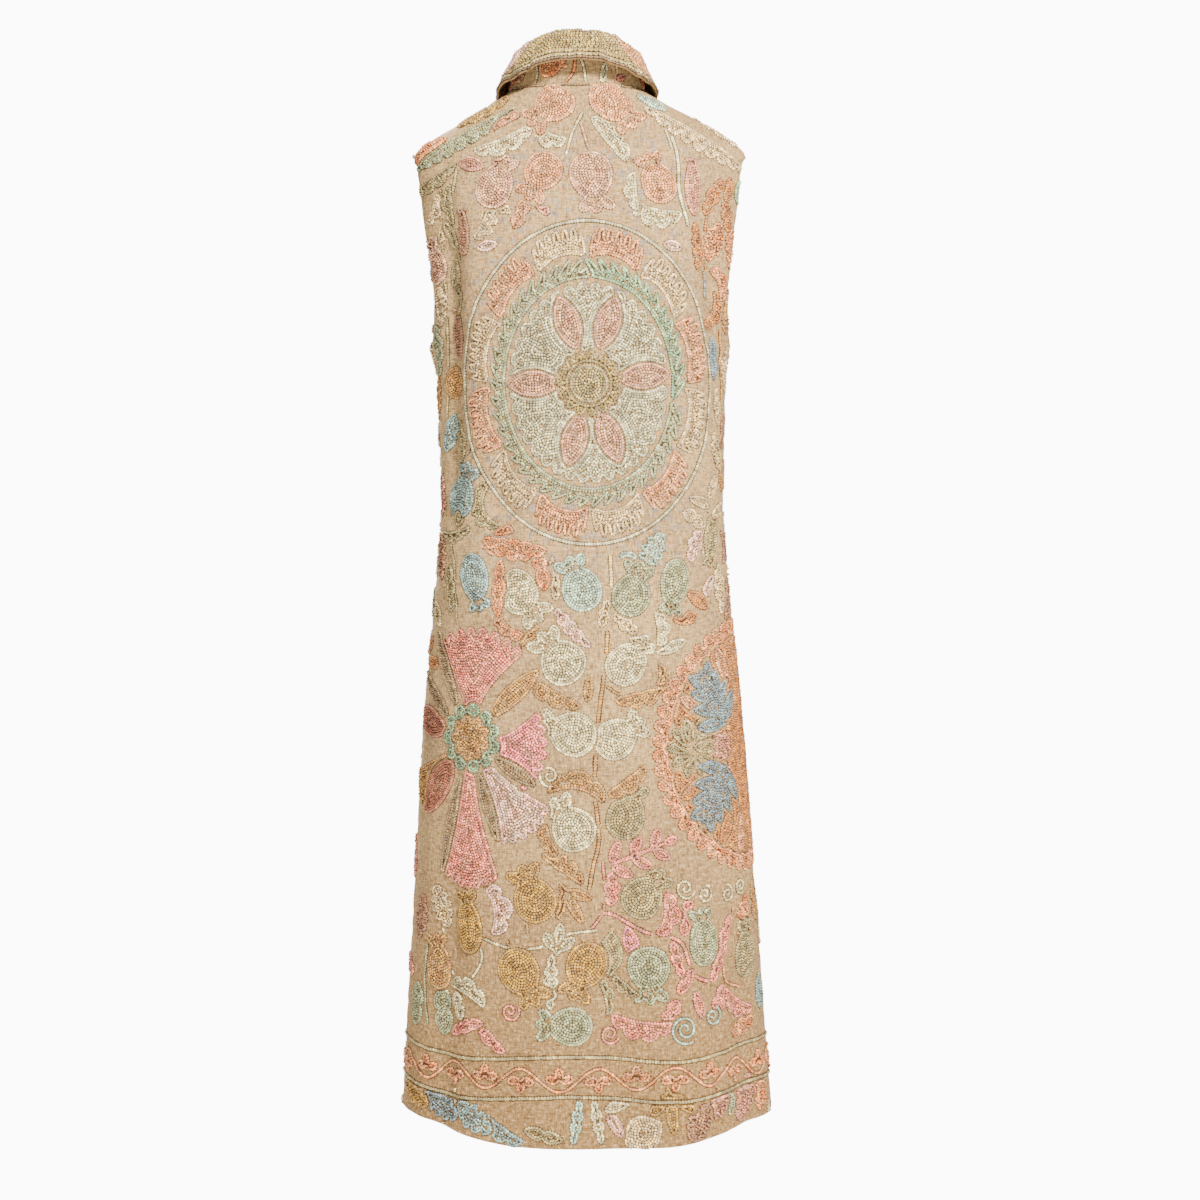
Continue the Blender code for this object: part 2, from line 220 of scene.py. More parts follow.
for lamp in LAMPS:
    light = bpy.data.lights.new(lamp.name, "AREA")
    light.size = lamp.size
    light.energy = lamp.watts
    light.color = WARM
    holder = bpy.data.objects.new(lamp.name, light)
    holder.location = lamp.place
    aim = (cad_box[0] + cad_box[1]) / 2 - holder.location
    holder.rotation_euler = aim.to_track_quat("-Z", "Y").to_euler()
    bpy.context.scene.collection.objects.link(holder)

# ---------------------------------------------------------------- the worn form
# The heavy cloth keeps the hollow shape of the figure that it was fitted to. The form repeats the solids'
# level rings and drape folds, and adds the smaller creases, so every panel and stitch can be laid on it.

Ring = namedtuple("Ring", "height half_width round_width back front square sway")
RINGS = [Ring(*row) for row in (
    (0.020, 0.058, 0.058, 0.054, 0.036, 2.0, -0.0040),
    (0.000, 0.077, 0.077, 0.067, 0.046, 2.0, -0.0035),
    (-0.024, 0.117, 0.112, 0.078, 0.055, 2.05, 0.0005),
    (-0.048, 0.158, 0.144, 0.089, 0.064, 2.1, 0.0010),
    (-0.072, 0.187, 0.166, 0.097, 0.072, 2.2, -0.0005),
    (-0.110, 0.187, 0.180, 0.107, 0.084, 2.35, -0.0010),
    (-0.180, 0.176, 0.1755, 0.1175, 0.1070, 2.5, 0.0000),
    (-0.240, 0.166, 0.1685, 0.1155, 0.1165, 2.5, 0.0010),
    (-0.285, 0.168, 0.1640, 0.1120, 0.1200, 2.45, 0.0010),
    (-0.310, 0.162, 0.1620, 0.1093, 0.1203, 2.42, 0.0013),
    (-0.370, 0.160, 0.1595, 0.1030, 0.1178, 2.35, 0.0020),
    (-0.457, 0.158, 0.1580, 0.0985, 0.1125, 2.3, 0.0025),
    (-0.560, 0.165, 0.165, 0.1140, 0.1165, 2.3, 0.0025),
    (-0.700, 0.178, 0.178, 0.132, 0.128, 2.3, 0.0030),
    (-0.860, 0.189, 0.189, 0.141, 0.136, 2.25, 0.0045),
    (-1.020, 0.200, 0.200, 0.147, 0.141, 2.2, 0.0060),
    (-1.160, 0.209, 0.209, 0.152, 0.146, 2.2, 0.0080),
)]
ROUND_FROM = 0.45  # the sine of the angle from the side seam where the round half width holds wholly

# Drape folds. Across is the distance round from the centre back, to the wearer's right, at the top and foot.
Fold = namedtuple("Fold", "top foot across_top across_foot width depth")
FOLDS = [Fold(*row) for row in (
    (-0.075, -0.520, -0.146, -0.158, 0.015, -0.0090),
    (-0.110, -0.560, -0.112, -0.122, 0.020, 0.0035),
    (-0.330, -0.600, -0.084, -0.098, 0.016, -0.0030),
    (-0.085, -0.330, 0.132, 0.166, 0.016, -0.0075),
    (-0.200, -0.560, 0.136, 0.140, 0.018, 0.0030),
    (-0.780, -1.220, 0.028, 0.040, 0.024, -0.0085),
    (-0.860, -1.220, -0.040, -0.052, 0.030, 0.0050),
    (-0.840, -1.220, 0.104, 0.112, 0.028, 0.0050),
    (-0.800, -1.220, -0.150, -0.172, 0.022, -0.0080),
    (-0.900, -1.220, 0.180, 0.196, 0.022, -0.0060),
    (-0.700, -1.220, 0.300, 0.318, 0.026, -0.0080),
    (-0.760, -1.220, 0.356, 0.384, 0.026, 0.0060),
    (-0.740, -1.220, -0.292, -0.306, 0.026, -0.0080),
    (-0.780, -1.220, -0.352, -0.376, 0.026, 0.0060),
    (-0.270, -0.560, 0.322, 0.306, 0.020, -0.0040),
    (-0.270, -0.560, -0.322, -0.306, 0.020, -0.0040),
)]
FOLD_FADE = 0.35

# Smaller creases of the cloth, each a soft trough below zero or ridge above it, centred at a distance round
# from the centre back and a drop below the shoulders.
Crease = namedtuple("Crease", "across drop turn length width depth")
CREASES = [Crease(*row) for row in (
    (-0.168, 0.245, 60, 0.100, 0.007, -0.0022),
    (-0.176, 0.292, 40, 0.080, 0.006, -0.0018),
    (-0.140, 0.150, 75, 0.120, 0.006, 0.0014),
    (0.160, 0.262, 120, 0.090, 0.007, -0.0022),
    (0.178, 0.310, 140, 0.070, 0.006, -0.0016),
    (-0.060, 0.430, 12, 0.110, 0.008, -0.0012),
    (0.070, 0.455, 170, 0.120, 0.008, -0.0012),
    (-0.170, 0.470, 155, 0.080, 0.007, -0.0018),
    (0.175, 0.480, 25, 0.080, 0.007, -0.0018),
    (0.020, 0.500, 5, 0.090, 0.007, 0.0008),
    (-0.110, 0.640, 80, 0.160, 0.008, -0.0012),
    (0.012, 0.700, 92, 0.240, 0.005, -0.0012),
    (0.160, 0.640, 100, 0.140, 0.008, -0.0012),
    (-0.205, 0.760, 85, 0.200, 0.009, -0.0020),
    (0.210, 0.800, 95, 0.200, 0.009, -0.0020),
    (0.012, 0.960, 88, 0.260, 0.006, 0.0012),
    (-0.100, 1.000, 84, 0.220, 0.009, -0.0016),
    (0.142, 1.020, 94, 0.200, 0.009, -0.0014),
    (-0.010, 0.060, 5, 0.120, 0.006, -0.0012),
    (0.030, 0.038, 172, 0.070, 0.004, -0.0010),
    (0.250, 0.330, 50, 0.090, 0.008, -0.0020),
    (0.255, 0.400, 30, 0.080, 0.008, -0.0016),
    (-0.250, 0.335, 130, 0.090, 0.008, -0.0020),
    (-0.256, 0.410, 150, 0.080, 0.008, -0.0016),
    (0.330, 0.480, 165, 0.090, 0.008, -0.0014),
    (-0.330, 0.470, 15, 0.100, 0.008, -0.0014),
    (0.340, 0.860, 88, 0.220, 0.009, -0.0018),
    (-0.330, 0.900, 92, 0.240, 0.009, -0.0018),
)]
COCKLE = 0.00045  # how far the cloth stands up and down between the stitched shapes
COCKLE_LENGTH = 0.022
COCKLE_WAVES = 7  # of different lengths and directions, which together look uneven

FORM_STEP_UP = 0.002
FORM_STEP_ROUND = 0.0025
FORM_LOW, FORM_HIGH = -1.166, 0.012
FORM_REACH = 0.600
RING_STEPS = 96
BESIDE = 0.004  # to each side of a place, where a ring's slope is measured


class Curve:
    """A smooth curve through one column of a table, which never overshoots the table's values."""

    def __init__(self, table, place, value):
        rows = sorted(table, key=lambda row: getattr(row, place))
        self.places = np.array([getattr(row, place) for row in rows], float)
        self.values = np.array([getattr(row, value) for row in rows], float)
        rates = np.diff(self.values) / np.diff(self.places)
        before, after = rates[:-1], rates[1:]
        both = np.where(before * after > 0, before + after, 1.0)
        inner = np.where(before * after > 0, 2 * before * after / both, 0.0)
        self.slopes = np.concatenate((rates[:1], inner, rates[-1:]))

    def __call__(self, place):
        place = np.clip(place, self.places[0], self.places[-1])
        i = np.clip(np.searchsorted(self.places, place) - 1, 0, len(self.places) - 2)
        span = self.places[i + 1] - self.places[i]
        t = (place - self.places[i]) / span
        return (
            (1 + 2 * t) * (1 - t) ** 2 * self.values[i]
            + t * (1 - t) ** 2 * span * self.slopes[i]
            + t * t * (3 - 2 * t) * self.values[i + 1]
            - t * t * (1 - t) * span * self.slopes[i + 1]
        )


def ease(share):
    """From 0 to 1, with no slope at either end."""
    share = np.clip(share, 0, 1)
    return share * share * (3 - 2 * share)


def blend(a, b, share):
    return a + (b - a) * share


def half_ring(height):
    """Half a ring from the centre back to the centre front: distances round it, x and y."""
    angle = math.pi * (np.arange(RING_STEPS + 1) / RING_STEPS - 0.5)
    depth = np.where(angle > 0, FRONT(height), BACK(height))
    away = ease(abs(np.sin(angle)) / ROUND_FROM)
    half_width = blend(HALF_WIDTH(height), ROUND_WIDTH(height), away)
    square = SQUARE(height)
    radius = (
        abs(np.cos(angle) / half_width) ** square + abs(np.sin(angle) / depth) ** square
    ) ** (-1 / square)
    x, y = radius * np.cos(angle), radius * np.sin(angle)
    return np.concatenate(([0], np.cumsum(np.hypot(np.diff(x), np.diff(y))))), x, y


HALF_WIDTH, ROUND_WIDTH, BACK, FRONT, SQUARE, SWAY = (
    Curve(RINGS, "height", column)
    for column in ("half_width", "round_width", "back", "front", "square", "sway")
)


def unit(vectors):
    return vectors / np.maximum(np.linalg.norm(vectors, axis=-1, keepdims=True), 1e-12)


def crossed(points):
    """The outward unit normals of a grid of points."""
    return unit(np.cross(np.gradient(points, axis=1), np.gradient(points, axis=0)))


def read(grid, row, column):
    """What a grid holds at places that are counted in its rows and columns."""
    i = np.clip(np.floor(row).astype(int), 0, grid.shape[0] - 2)
    j = np.clip(np.floor(column).astype(int), 0, grid.shape[1] - 2)
    s = np.clip(row - i, 0, 1)
    t = np.clip(column - j, 0, 1)
    if grid.ndim == 3:
        s, t = s[..., None], t[..., None]
    low = blend(grid[i, j], grid[i, j + 1], t)
    high = blend(grid[i + 1, j], grid[i + 1, j + 1], t)
    return blend(low, high, s)


class Form:
    """A surface for cloth to lie on: a grid of points over a distance sideways and a distance upwards."""

    def __init__(self, points, sideways, upwards):
        self.points = points
        self.normals = crossed(points)
        self.sideways = sideways
        self.upwards = upwards

    def at(self, sideways, upwards, out=0.0):
        """Points of the surface, moved out along its normals."""
        row = (upwards - self.upwards[0]) / (self.upwards[1] - self.upwards[0])
        column = (sideways - self.sideways[0]) / (self.sideways[1] - self.sideways[0])
        spots, normals = read(self.points, row, column), read(self.normals, row, column)
        return spots + unit(normals) * np.asarray(out)[..., None]


form_heights = np.arange(FORM_LOW, FORM_HIGH, FORM_STEP_UP)
form_across = np.arange(-FORM_REACH, FORM_REACH + FORM_STEP_ROUND, FORM_STEP_ROUND)
ring_arcs, ring_widths, ring_depths = (np.array(part) for part in zip(*map(half_ring, form_heights)))


def fold_depth(across, height):
    """How far the drape folds move the cloth outwards."""
    total = np.zeros(np.broadcast(across, height).shape)
    for fold in FOLDS:
        share = (height - fold.top) / (fold.foot - fold.top)
        middle = blend(fold.across_top, fold.across_foot, share)
        strength = ease(share / FOLD_FADE) * ease((1 - share) / FOLD_FADE)
        total += fold.depth * strength * np.exp(-(((across - middle) / fold.width) ** 2))
    return total


def crease_depth(across, height):
    """How far the creases and the cockling of the embroidered cloth move it outwards."""
    total = np.zeros(np.broadcast(across, height).shape)
    for crease in CREASES:
        spot = (across - crease.across) + 1j * (height + crease.drop)
        spot = spot * np.exp(-1j * math.radians(crease.turn))
        wander = 0.15 * crease.width * np.sin(spot.real * 90 + crease.drop * 50)
        strength = ease(1.4 * (1 - abs(spot.real) / (crease.length / 2)))
        total += crease.depth * strength * np.exp(-(((spot.imag - wander) / crease.width) ** 2))
    for i in range(COCKLE_WAVES):
        turn = np.exp(1j * (0.4 + i * 2.4))
        wave = 2 * math.pi / (COCKLE_LENGTH * (0.7 + 0.23 * i))
        swing = ((across + 1j * height) * turn).real * wave
        total += COCKLE * 0.5 * np.sin(swing + 2.2 * np.sin(swing * 0.31 + i))
    return total


def bare_form():
    """The form's grid of points without its creases."""
    rows = []
    for height, arcs, widths, depths in zip(form_heights, ring_arcs, ring_widths, ring_depths):
        reach = abs(form_across)
        ahead = np.minimum(reach + BESIDE, arcs[-1])
        behind = ahead - 2 * BESIDE
        along_x = np.interp(ahead, arcs, widths) - np.interp(behind, arcs, widths)
        along_y = np.interp(ahead, arcs, depths) - np.interp(behind, arcs, depths)
        along = np.hypot(along_x, along_y)
        out = fold_depth(form_across, height)
        x = np.interp(reach, arcs, widths) + out * along_y / along
        y = np.interp(reach, arcs, depths) - out * along_x / along
        side = np.where(form_across < 0, -1, 1)
        rows.append(np.stack((side * x + SWAY(height), y, np.full_like(x, height)), axis=1))
    return np.array(rows)


bare_points = bare_form()
creased = crease_depth(form_across[None, :], form_heights[:, None])
body = Form(
    bare_points + crossed(bare_points) * creased[..., None], form_across, form_heights
)
round_to_side = np.array([np.interp(0.0, ys, arcs) for arcs, ys in zip(ring_arcs, ring_depths)])
round_to_front = ring_arcs[:, -1]

# ---------------------------------------------------------------- back: the cloth
# One whole piece of heavy slubbed cotton, hand-woven and unevenly dyed. It is cut with deep armholes and a
# dipped hem, and its raw edges are turned in, so that the wall is a little rounded at every edge.

CLOTH = 0.0022
SEAM_GAP = -0.0001  # the edges are drawn together by the sewing
HEM = -1.132
HEM_TILT = 0.003
HEM_DIP = 0.0150
DIP_WHOLE = 0.25
DIP_NONE = 0.75
UNDERARM = -0.290
SHOULDER_TIP = -0.072
NAPE = -0.004
ARMHOLE_BACK = 0.046
EDGE_ROUND = 0.0007
RIM_ANGLE = 1.0  # between the faces at a wall's edges, in radians, at least
ROW_SPACING = 0.005
BACK_COLUMNS = 84


def armhole_edge(height, scoop):
    """The y of an armhole's edge: an oval from the underarm to the shoulder tip."""
    middle = (UNDERARM + SHOULDER_TIP) / 2
    half = (SHOULDER_TIP - UNDERARM) / 2
    return scoop * np.sqrt(np.maximum(0, 1 - ((height - middle) / half) ** 2))


def hang(height):
    """How much of the hem's dip and tilt a row shares."""
    return ease((UNDERARM - height) / (UNDERARM - HEM))


def hem_dip(share):
    return HEM_DIP * (1 - ease((share - DIP_WHOLE) / (DIP_NONE - DIP_WHOLE)))


def raised(height):
    """0 at the underarm and below it, 1 at the neck."""
    return np.maximum(0.0, (height - UNDERARM) / -UNDERARM)


def side_at(height):
    return np.interp(height, form_heights, round_to_side)


def armhole_round(heights, scoop):
    """The distances round from the centre back to an armhole's edge."""
    rings = (half_ring(height) for height in heights)
    edges = armhole_edge(heights, scoop)
    return np.array([np.interp(edge, ys, arcs) for edge, (arcs, _, ys) in zip(edges, rings)])


def back_place(share, heights):
    """Distances round and heights of the back's rows. Share -1 is the left edge and 1 the right one."""
    row = heights[:, None]
    here = (
        row
        - hang(row) * (hem_dip(abs(share)) + HEM_TILT * share)
        + raised(row) * NAPE * np.cos(share * math.pi / 2) ** 2
    )
    armhole = armhole_round(heights, -ARMHOLE_BACK)[:, None]
    edge = np.where(row > UNDERARM, armhole, side_at(here)) - SEAM_GAP / 2
    return share * edge, here


def border_of(sideways, upwards):
    """A panel's outline on the flat cloth."""
    flat = sideways + 1j * upwards
    return np.concatenate((flat[0, :-1], flat[:-1, -1], flat[-1, :0:-1], flat[:0:-1, 0]))


def flat_area(outline):
    """The area inside an outline."""
    return abs((outline * np.roll(outline, -1).conj()).imag.sum()) / 2


def laid_flat(spots):
    """Places on the flat cloth as shares of the room that they take."""
    low, high = spots.min(axis=0), spots.max(axis=0)
    return (spots - low) / (high - low)


def walled(name, sideways, upwards, outer, inner, outside, inside):
    """A closed wall of cloth between two grids of points, with its edges rounded."""
    columns = sideways.shape[1]
    mesh = bmesh.new()
    bmesh.ops.create_grid(
        mesh, x_segments=columns - 1, y_segments=sideways.shape[0] - 1, size=1
    )
    place = mesh.verts.layers.int.new("place")
    outer, inner = outer.reshape(-1, 3), inner.reshape(-1, 3)
    for i, vert in enumerate(mesh.verts):
        vert[place] = i
        vert.co = outer[i]
    result = bmesh.ops.extrude_face_region(mesh, geom=mesh.faces[:], use_keep_orig=True)
    behind = {item for item in result["geom"] if isinstance(item, bmesh.types.BMVert)}
    for vert in behind:
        vert.co = inner[vert[place]]
    bmesh.ops.recalc_face_normals(mesh, faces=mesh.faces[:])
    flat = np.stack((sideways.ravel(), upwards.ravel()), axis=1)
    # The outer side takes the left half of the map for baking, and the inner side the right half.
    shares = laid_flat(flat) * (0.49, 1.0)
    cloth_map = mesh.loops.layers.uv.new("cloth")
    bake_map = mesh.loops.layers.uv.new("OFBake")
    for face in mesh.faces:
        hidden = all(vert in behind for vert in face.verts)
        face.material_index = int(hidden)
        for loop in face.loops:
            i = loop.vert[place]
            loop[cloth_map].uv = flat[i]
            loop[bake_map].uv = shares[i] + (0.51 * hidden, 0)
    rims = [edge for edge in mesh.edges if edge.calc_face_angle(0) > RIM_ANGLE]
    bmesh.ops.bevel(
        mesh, geom=rims, offset=EDGE_ROUND, segments=2, profile=0.5, affect="EDGES", material=-1
    )
    mesh.verts.layers.int.remove(place)
    return object_of(name, mesh, outside, inside)


def cloth_wall(name, form, sideways, upwards, thickness, outside, inside):
    """A wall of cloth laid on a form at a grid of flat places."""
    outer, inner = form.at(sideways, upwards), form.at(sideways, upwards, -thickness)
    return walled(name, sideways, upwards, outer, inner, outside, inside)


def slubbed(name, tints, mottled):
    """Hand-woven cloth: two uneven sets of threads, drifting from tint to tint and darker to the hem."""
    cloth = Finish(name, roughness=0.95)
    place = cloth.node("UVMap", {"uv_map": "cloth"})
    across = cloth.node("SeparateXYZ", None, {"Vector": place}, 0)
    height = cloth.node("SeparateXYZ", None, {"Vector": place}, 1)
    drift = cloth.noise(place, 9.0, 3.0, 0.55).within(0.35, 0.65)
    colour = cloth.mix(drift, tints[0], tints[1])
    colour = cloth.mix(height.within(-0.60, -1.15) * 0.85, colour, tints[2])
    if mottled:
        middle = (across * across).within(0.028, 0.004)
        stained = middle * height.within(-0.62, -0.46) * height.within(-0.03, -0.10)
        blue = cloth.noise(place, 95.0, 3.0, 0.6).within(0.50, 0.62)
        rust = cloth.noise(place, 130.0, 2.0, 0.6).within(0.56, 0.66)
        colour = cloth.mix(blue * stained * 0.55, colour, tints[3])
        colour = cloth.mix(rust * stained * 0.50, colour, tints[4])
    weft = cloth.noise(cloth.stretched(place, (90, 900, 1)), 1.0, 3.0, 0.6)
    warp = cloth.noise(cloth.stretched(place, (900, 90, 1)), 1.0, 3.0, 0.6)
    slub_and_shade = (weft + warp) * 0.5
    # Dark flecks where the slubbed threads lie low: partly the threads' own colour, partly painted shade
    # between them.
    colour = cloth.mix(slub_and_shade.within(0.56, 0.40) * 0.68, colour, dyed(48, 32, 18))
    fibre_and_shade = cloth.noise(place, 260.0, 5.0, 0.8)
    colour = cloth.mix(fibre_and_shade.within(0.50, 0.68) * 0.50, colour, dyed(205, 176, 132))
    # Dark flecks among the fibres: partly dark fibres, partly painted shade between the threads.
    colour = cloth.mix(fibre_and_shade.within(0.48, 0.32) * 0.76, colour, dyed(60, 40, 24))
    cloth.shader.inputs["Specular IOR Level"].default_value = 0.12
    return cloth.finish(colour, slub_and_shade, 0.5, 0.0008)


# The cloth's own two tints, a darker tint towards the hem, and the blue and rust stains in its middle.
ground_tints = (
    dyed(150, 127, 90),
    dyed(134, 113, 82),
    dyed(114, 89, 56),
    dyed(92, 106, 122),
    dyed(160, 100, 50),
)
linen = slubbed("slubbed_cotton", ground_tints, mottled=True)
linen_inside = slubbed("slubbed_cotton_inside", ground_tints, mottled=False)

skirt_rows = int((UNDERARM - HEM) / ROW_SPACING)
armhole_rows = int((SHOULDER_TIP - UNDERARM) / ROW_SPACING)
shoulder_rows = int(-SHOULDER_TIP / ROW_SPACING)
row_heights = np.concatenate(
    (
        np.linspace(HEM, UNDERARM, skirt_rows, endpoint=False),
        np.linspace(UNDERARM, SHOULDER_TIP, armhole_rows, endpoint=False),
        np.linspace(SHOULDER_TIP, 0.0, shoulder_rows),
    )
)
back_across, back_up = back_place(np.linspace(-1, 1, BACK_COLUMNS + 1), row_heights)
back_outline = border_of(back_across, back_up)
back_cloth = cloth_wall("back_cloth", body, back_across, back_up, CLOTH, linen, linen_inside)
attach(back_cloth, "root")
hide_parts("back")
flat_area(back_outline)

# ---------------------------------------------------------------- back: the embroidery
# Thick matt wool is worked in rows of chain stitch that follow each shape's outline to its middle. The shapes
# are pomegranates, leaves and sprays round a great ringed flower, a cut flower and a great disc.

ROW = 0.0029  # from one row of chain stitch to the next
LINK = 0.0031  # the length of one stitch
STITCH_HEIGHT = 0.0021
STITCH_SUNK = 0.0002
LOOP = 0.66  # of a row's width, from the middle of a link out to its loop
JOIN = 0.54  # and at the join of two links
JOIN_HEIGHT = 0.55  # of the link's own height
HAND_WIDTH, HAND_HEIGHT, HAND_ASIDE = 0.05, 0.14, 0.00018  # how unevenly the hand works each link
HANK_DRIFT, HANK_MIXED = (190, 150), 0.15  # how a hank's dye changes over the cloth, and within a row
BARE = 0.0009  # of cloth that shows between two shapes
BARE_EDGE = 0.0006  # and along the edge of a panel
UNEVEN = 0.58  # how much lighter and darker one stitch is than the next
OUTLINE_SHADE = 0.22  # painted shade: how much darker the outer row of a shape is, as its joints hold less painted shade
SKIRT = 0.0017  # how far a shape's outer row spreads over the cloth beside it, painted dark there as the shape's shadow
CHART_STEP = 0.001
CHART_MARGIN = 0.004
CHART_BATCH = 150  # spots that are measured at once

# The dyes, each as the two shades that a hank drifts between.
HANKS = {
    "peach": ((212, 136, 84), (226, 160, 110)),
    "pink": ((199, 138, 110), (212, 165, 130)),
    "rose": ((194, 120, 101), (209, 145, 117)),
    "rosewood": ((150, 101, 72), (172, 121, 87)),
    "rosered": ((226, 112, 98), (238, 148, 126)),
    "hot": ((238, 104, 116), (242, 146, 148)),
    "blush": ((238, 204, 180), (238, 172, 154)),
    "terracotta": ((158, 84, 59), (178, 103, 74)),
    "coral": ((208, 112, 40), (242, 164, 108)),
    "orange": ((200, 128, 44), (186, 112, 48)),
    "tan": ((168, 112, 44), (190, 146, 70)),
    "mustard": ((190, 146, 44), (166, 124, 42)),
    "olive": ((172, 156, 102), (150, 140, 94)),
    "sage": ((146, 158, 116), (164, 173, 136)),
    "green": ((101, 142, 112), (150, 185, 140)),
    "mist": ((174, 206, 184), (158, 194, 178)),
    "blue": ((112, 150, 158), (144, 180, 174)),
    "slate": ((84, 116, 136), (118, 148, 158)),
    "cream": ((226, 220, 168), (214, 198, 152)),
    "oat": ((229, 197, 134), (212, 187, 144)),
    "straw": ((172, 152, 82), (142, 126, 76)),
    "khaki": ((132, 108, 72), (156, 130, 90)),
    # A dark brown for the collar's outermost edge row, painted as the shadow beneath that edge.
    "shadow_brown": ((96, 74, 46), (122, 96, 64)),
    "ivory": ((208, 206, 166), (178, 176, 138)),
}
DYES = {name: (dyed(*one), dyed(*other)) for name, (one, other) in HANKS.items()}

rng = np.random.default_rng(11)


def reach_in(outline, spots):
    """How far inside a closed outline the spots are, in metres; below 0 outside it."""
    nearest = np.full(spots.shape, 9.0)
    inside = np.zeros(spots.shape, bool)
    for a, b in zip(outline, np.roll(outline, -1)):
        side = b - a
        if abs(side) < 1e-9:
            continue
        from_a = spots - a
        along = np.clip((from_a * side.conjugate()).real / abs(side) ** 2, 0, 1)
        nearest = np.minimum(nearest, abs(from_a - along * side))
        if side.imag:
            level = (a.imag > spots.imag) != (b.imag > spots.imag)
            inside ^= level & (from_a.real < from_a.imag * side.real / side.imag)
    return np.where(inside, nearest, -nearest)


def reach_along(path, spots):
    """How far the spots are from an open path."""
    nearest = np.full(spots.shape, 9.0)
    for a, b in zip(path, path[1:]):
        side = b - a
        along = np.clip(((spots - a) * side.conjugate()).real / abs(side) ** 2, 0, 1)
        nearest = np.minimum(nearest, abs(spots - a - along * side))
    return nearest


def level_lines(field, level, spots):
    """The closed lines along which a field over a grid of spots has this level."""
    rows, columns = field.shape
    high = field > level
    corners = (high[:-1, :-1], high[:-1, 1:], high[1:, 1:], high[1:, :-1])
    cell = np.arange(rows * columns).reshape(rows, columns)[:-1, :-1]
    upright = rows * columns
    sides = (cell, upright + cell + 1, cell + columns, upright + cell)
    following = {}
    for k in range(4):
        leaving = corners[k] & ~corners[(k + 1) % 4]
        for m in range(1, 4):
            entering = ~corners[(k + m) % 4] & corners[(k + m + 1) % 4]
            both = leaving & entering
            following.update(zip(sides[k][both].tolist(), sides[(k + m) % 4][both].tolist()))
            leaving = leaving & ~entering
    values, places = field.ravel() - level, spots.ravel()
    lines = []
    while following:
        key, after = following.popitem()
        chain = [key]
        while after != key and after in following:
            chain.append(after)
            after = following.pop(after)
        crossing = np.array(chain)
        low = crossing % upright
        high_end = low + np.where(crossing < upright, 1, columns)
        share = values[low] / (values[low] - values[high_end])
        lines.append(places[low] + (places[high_end] - places[low]) * share)
    return lines


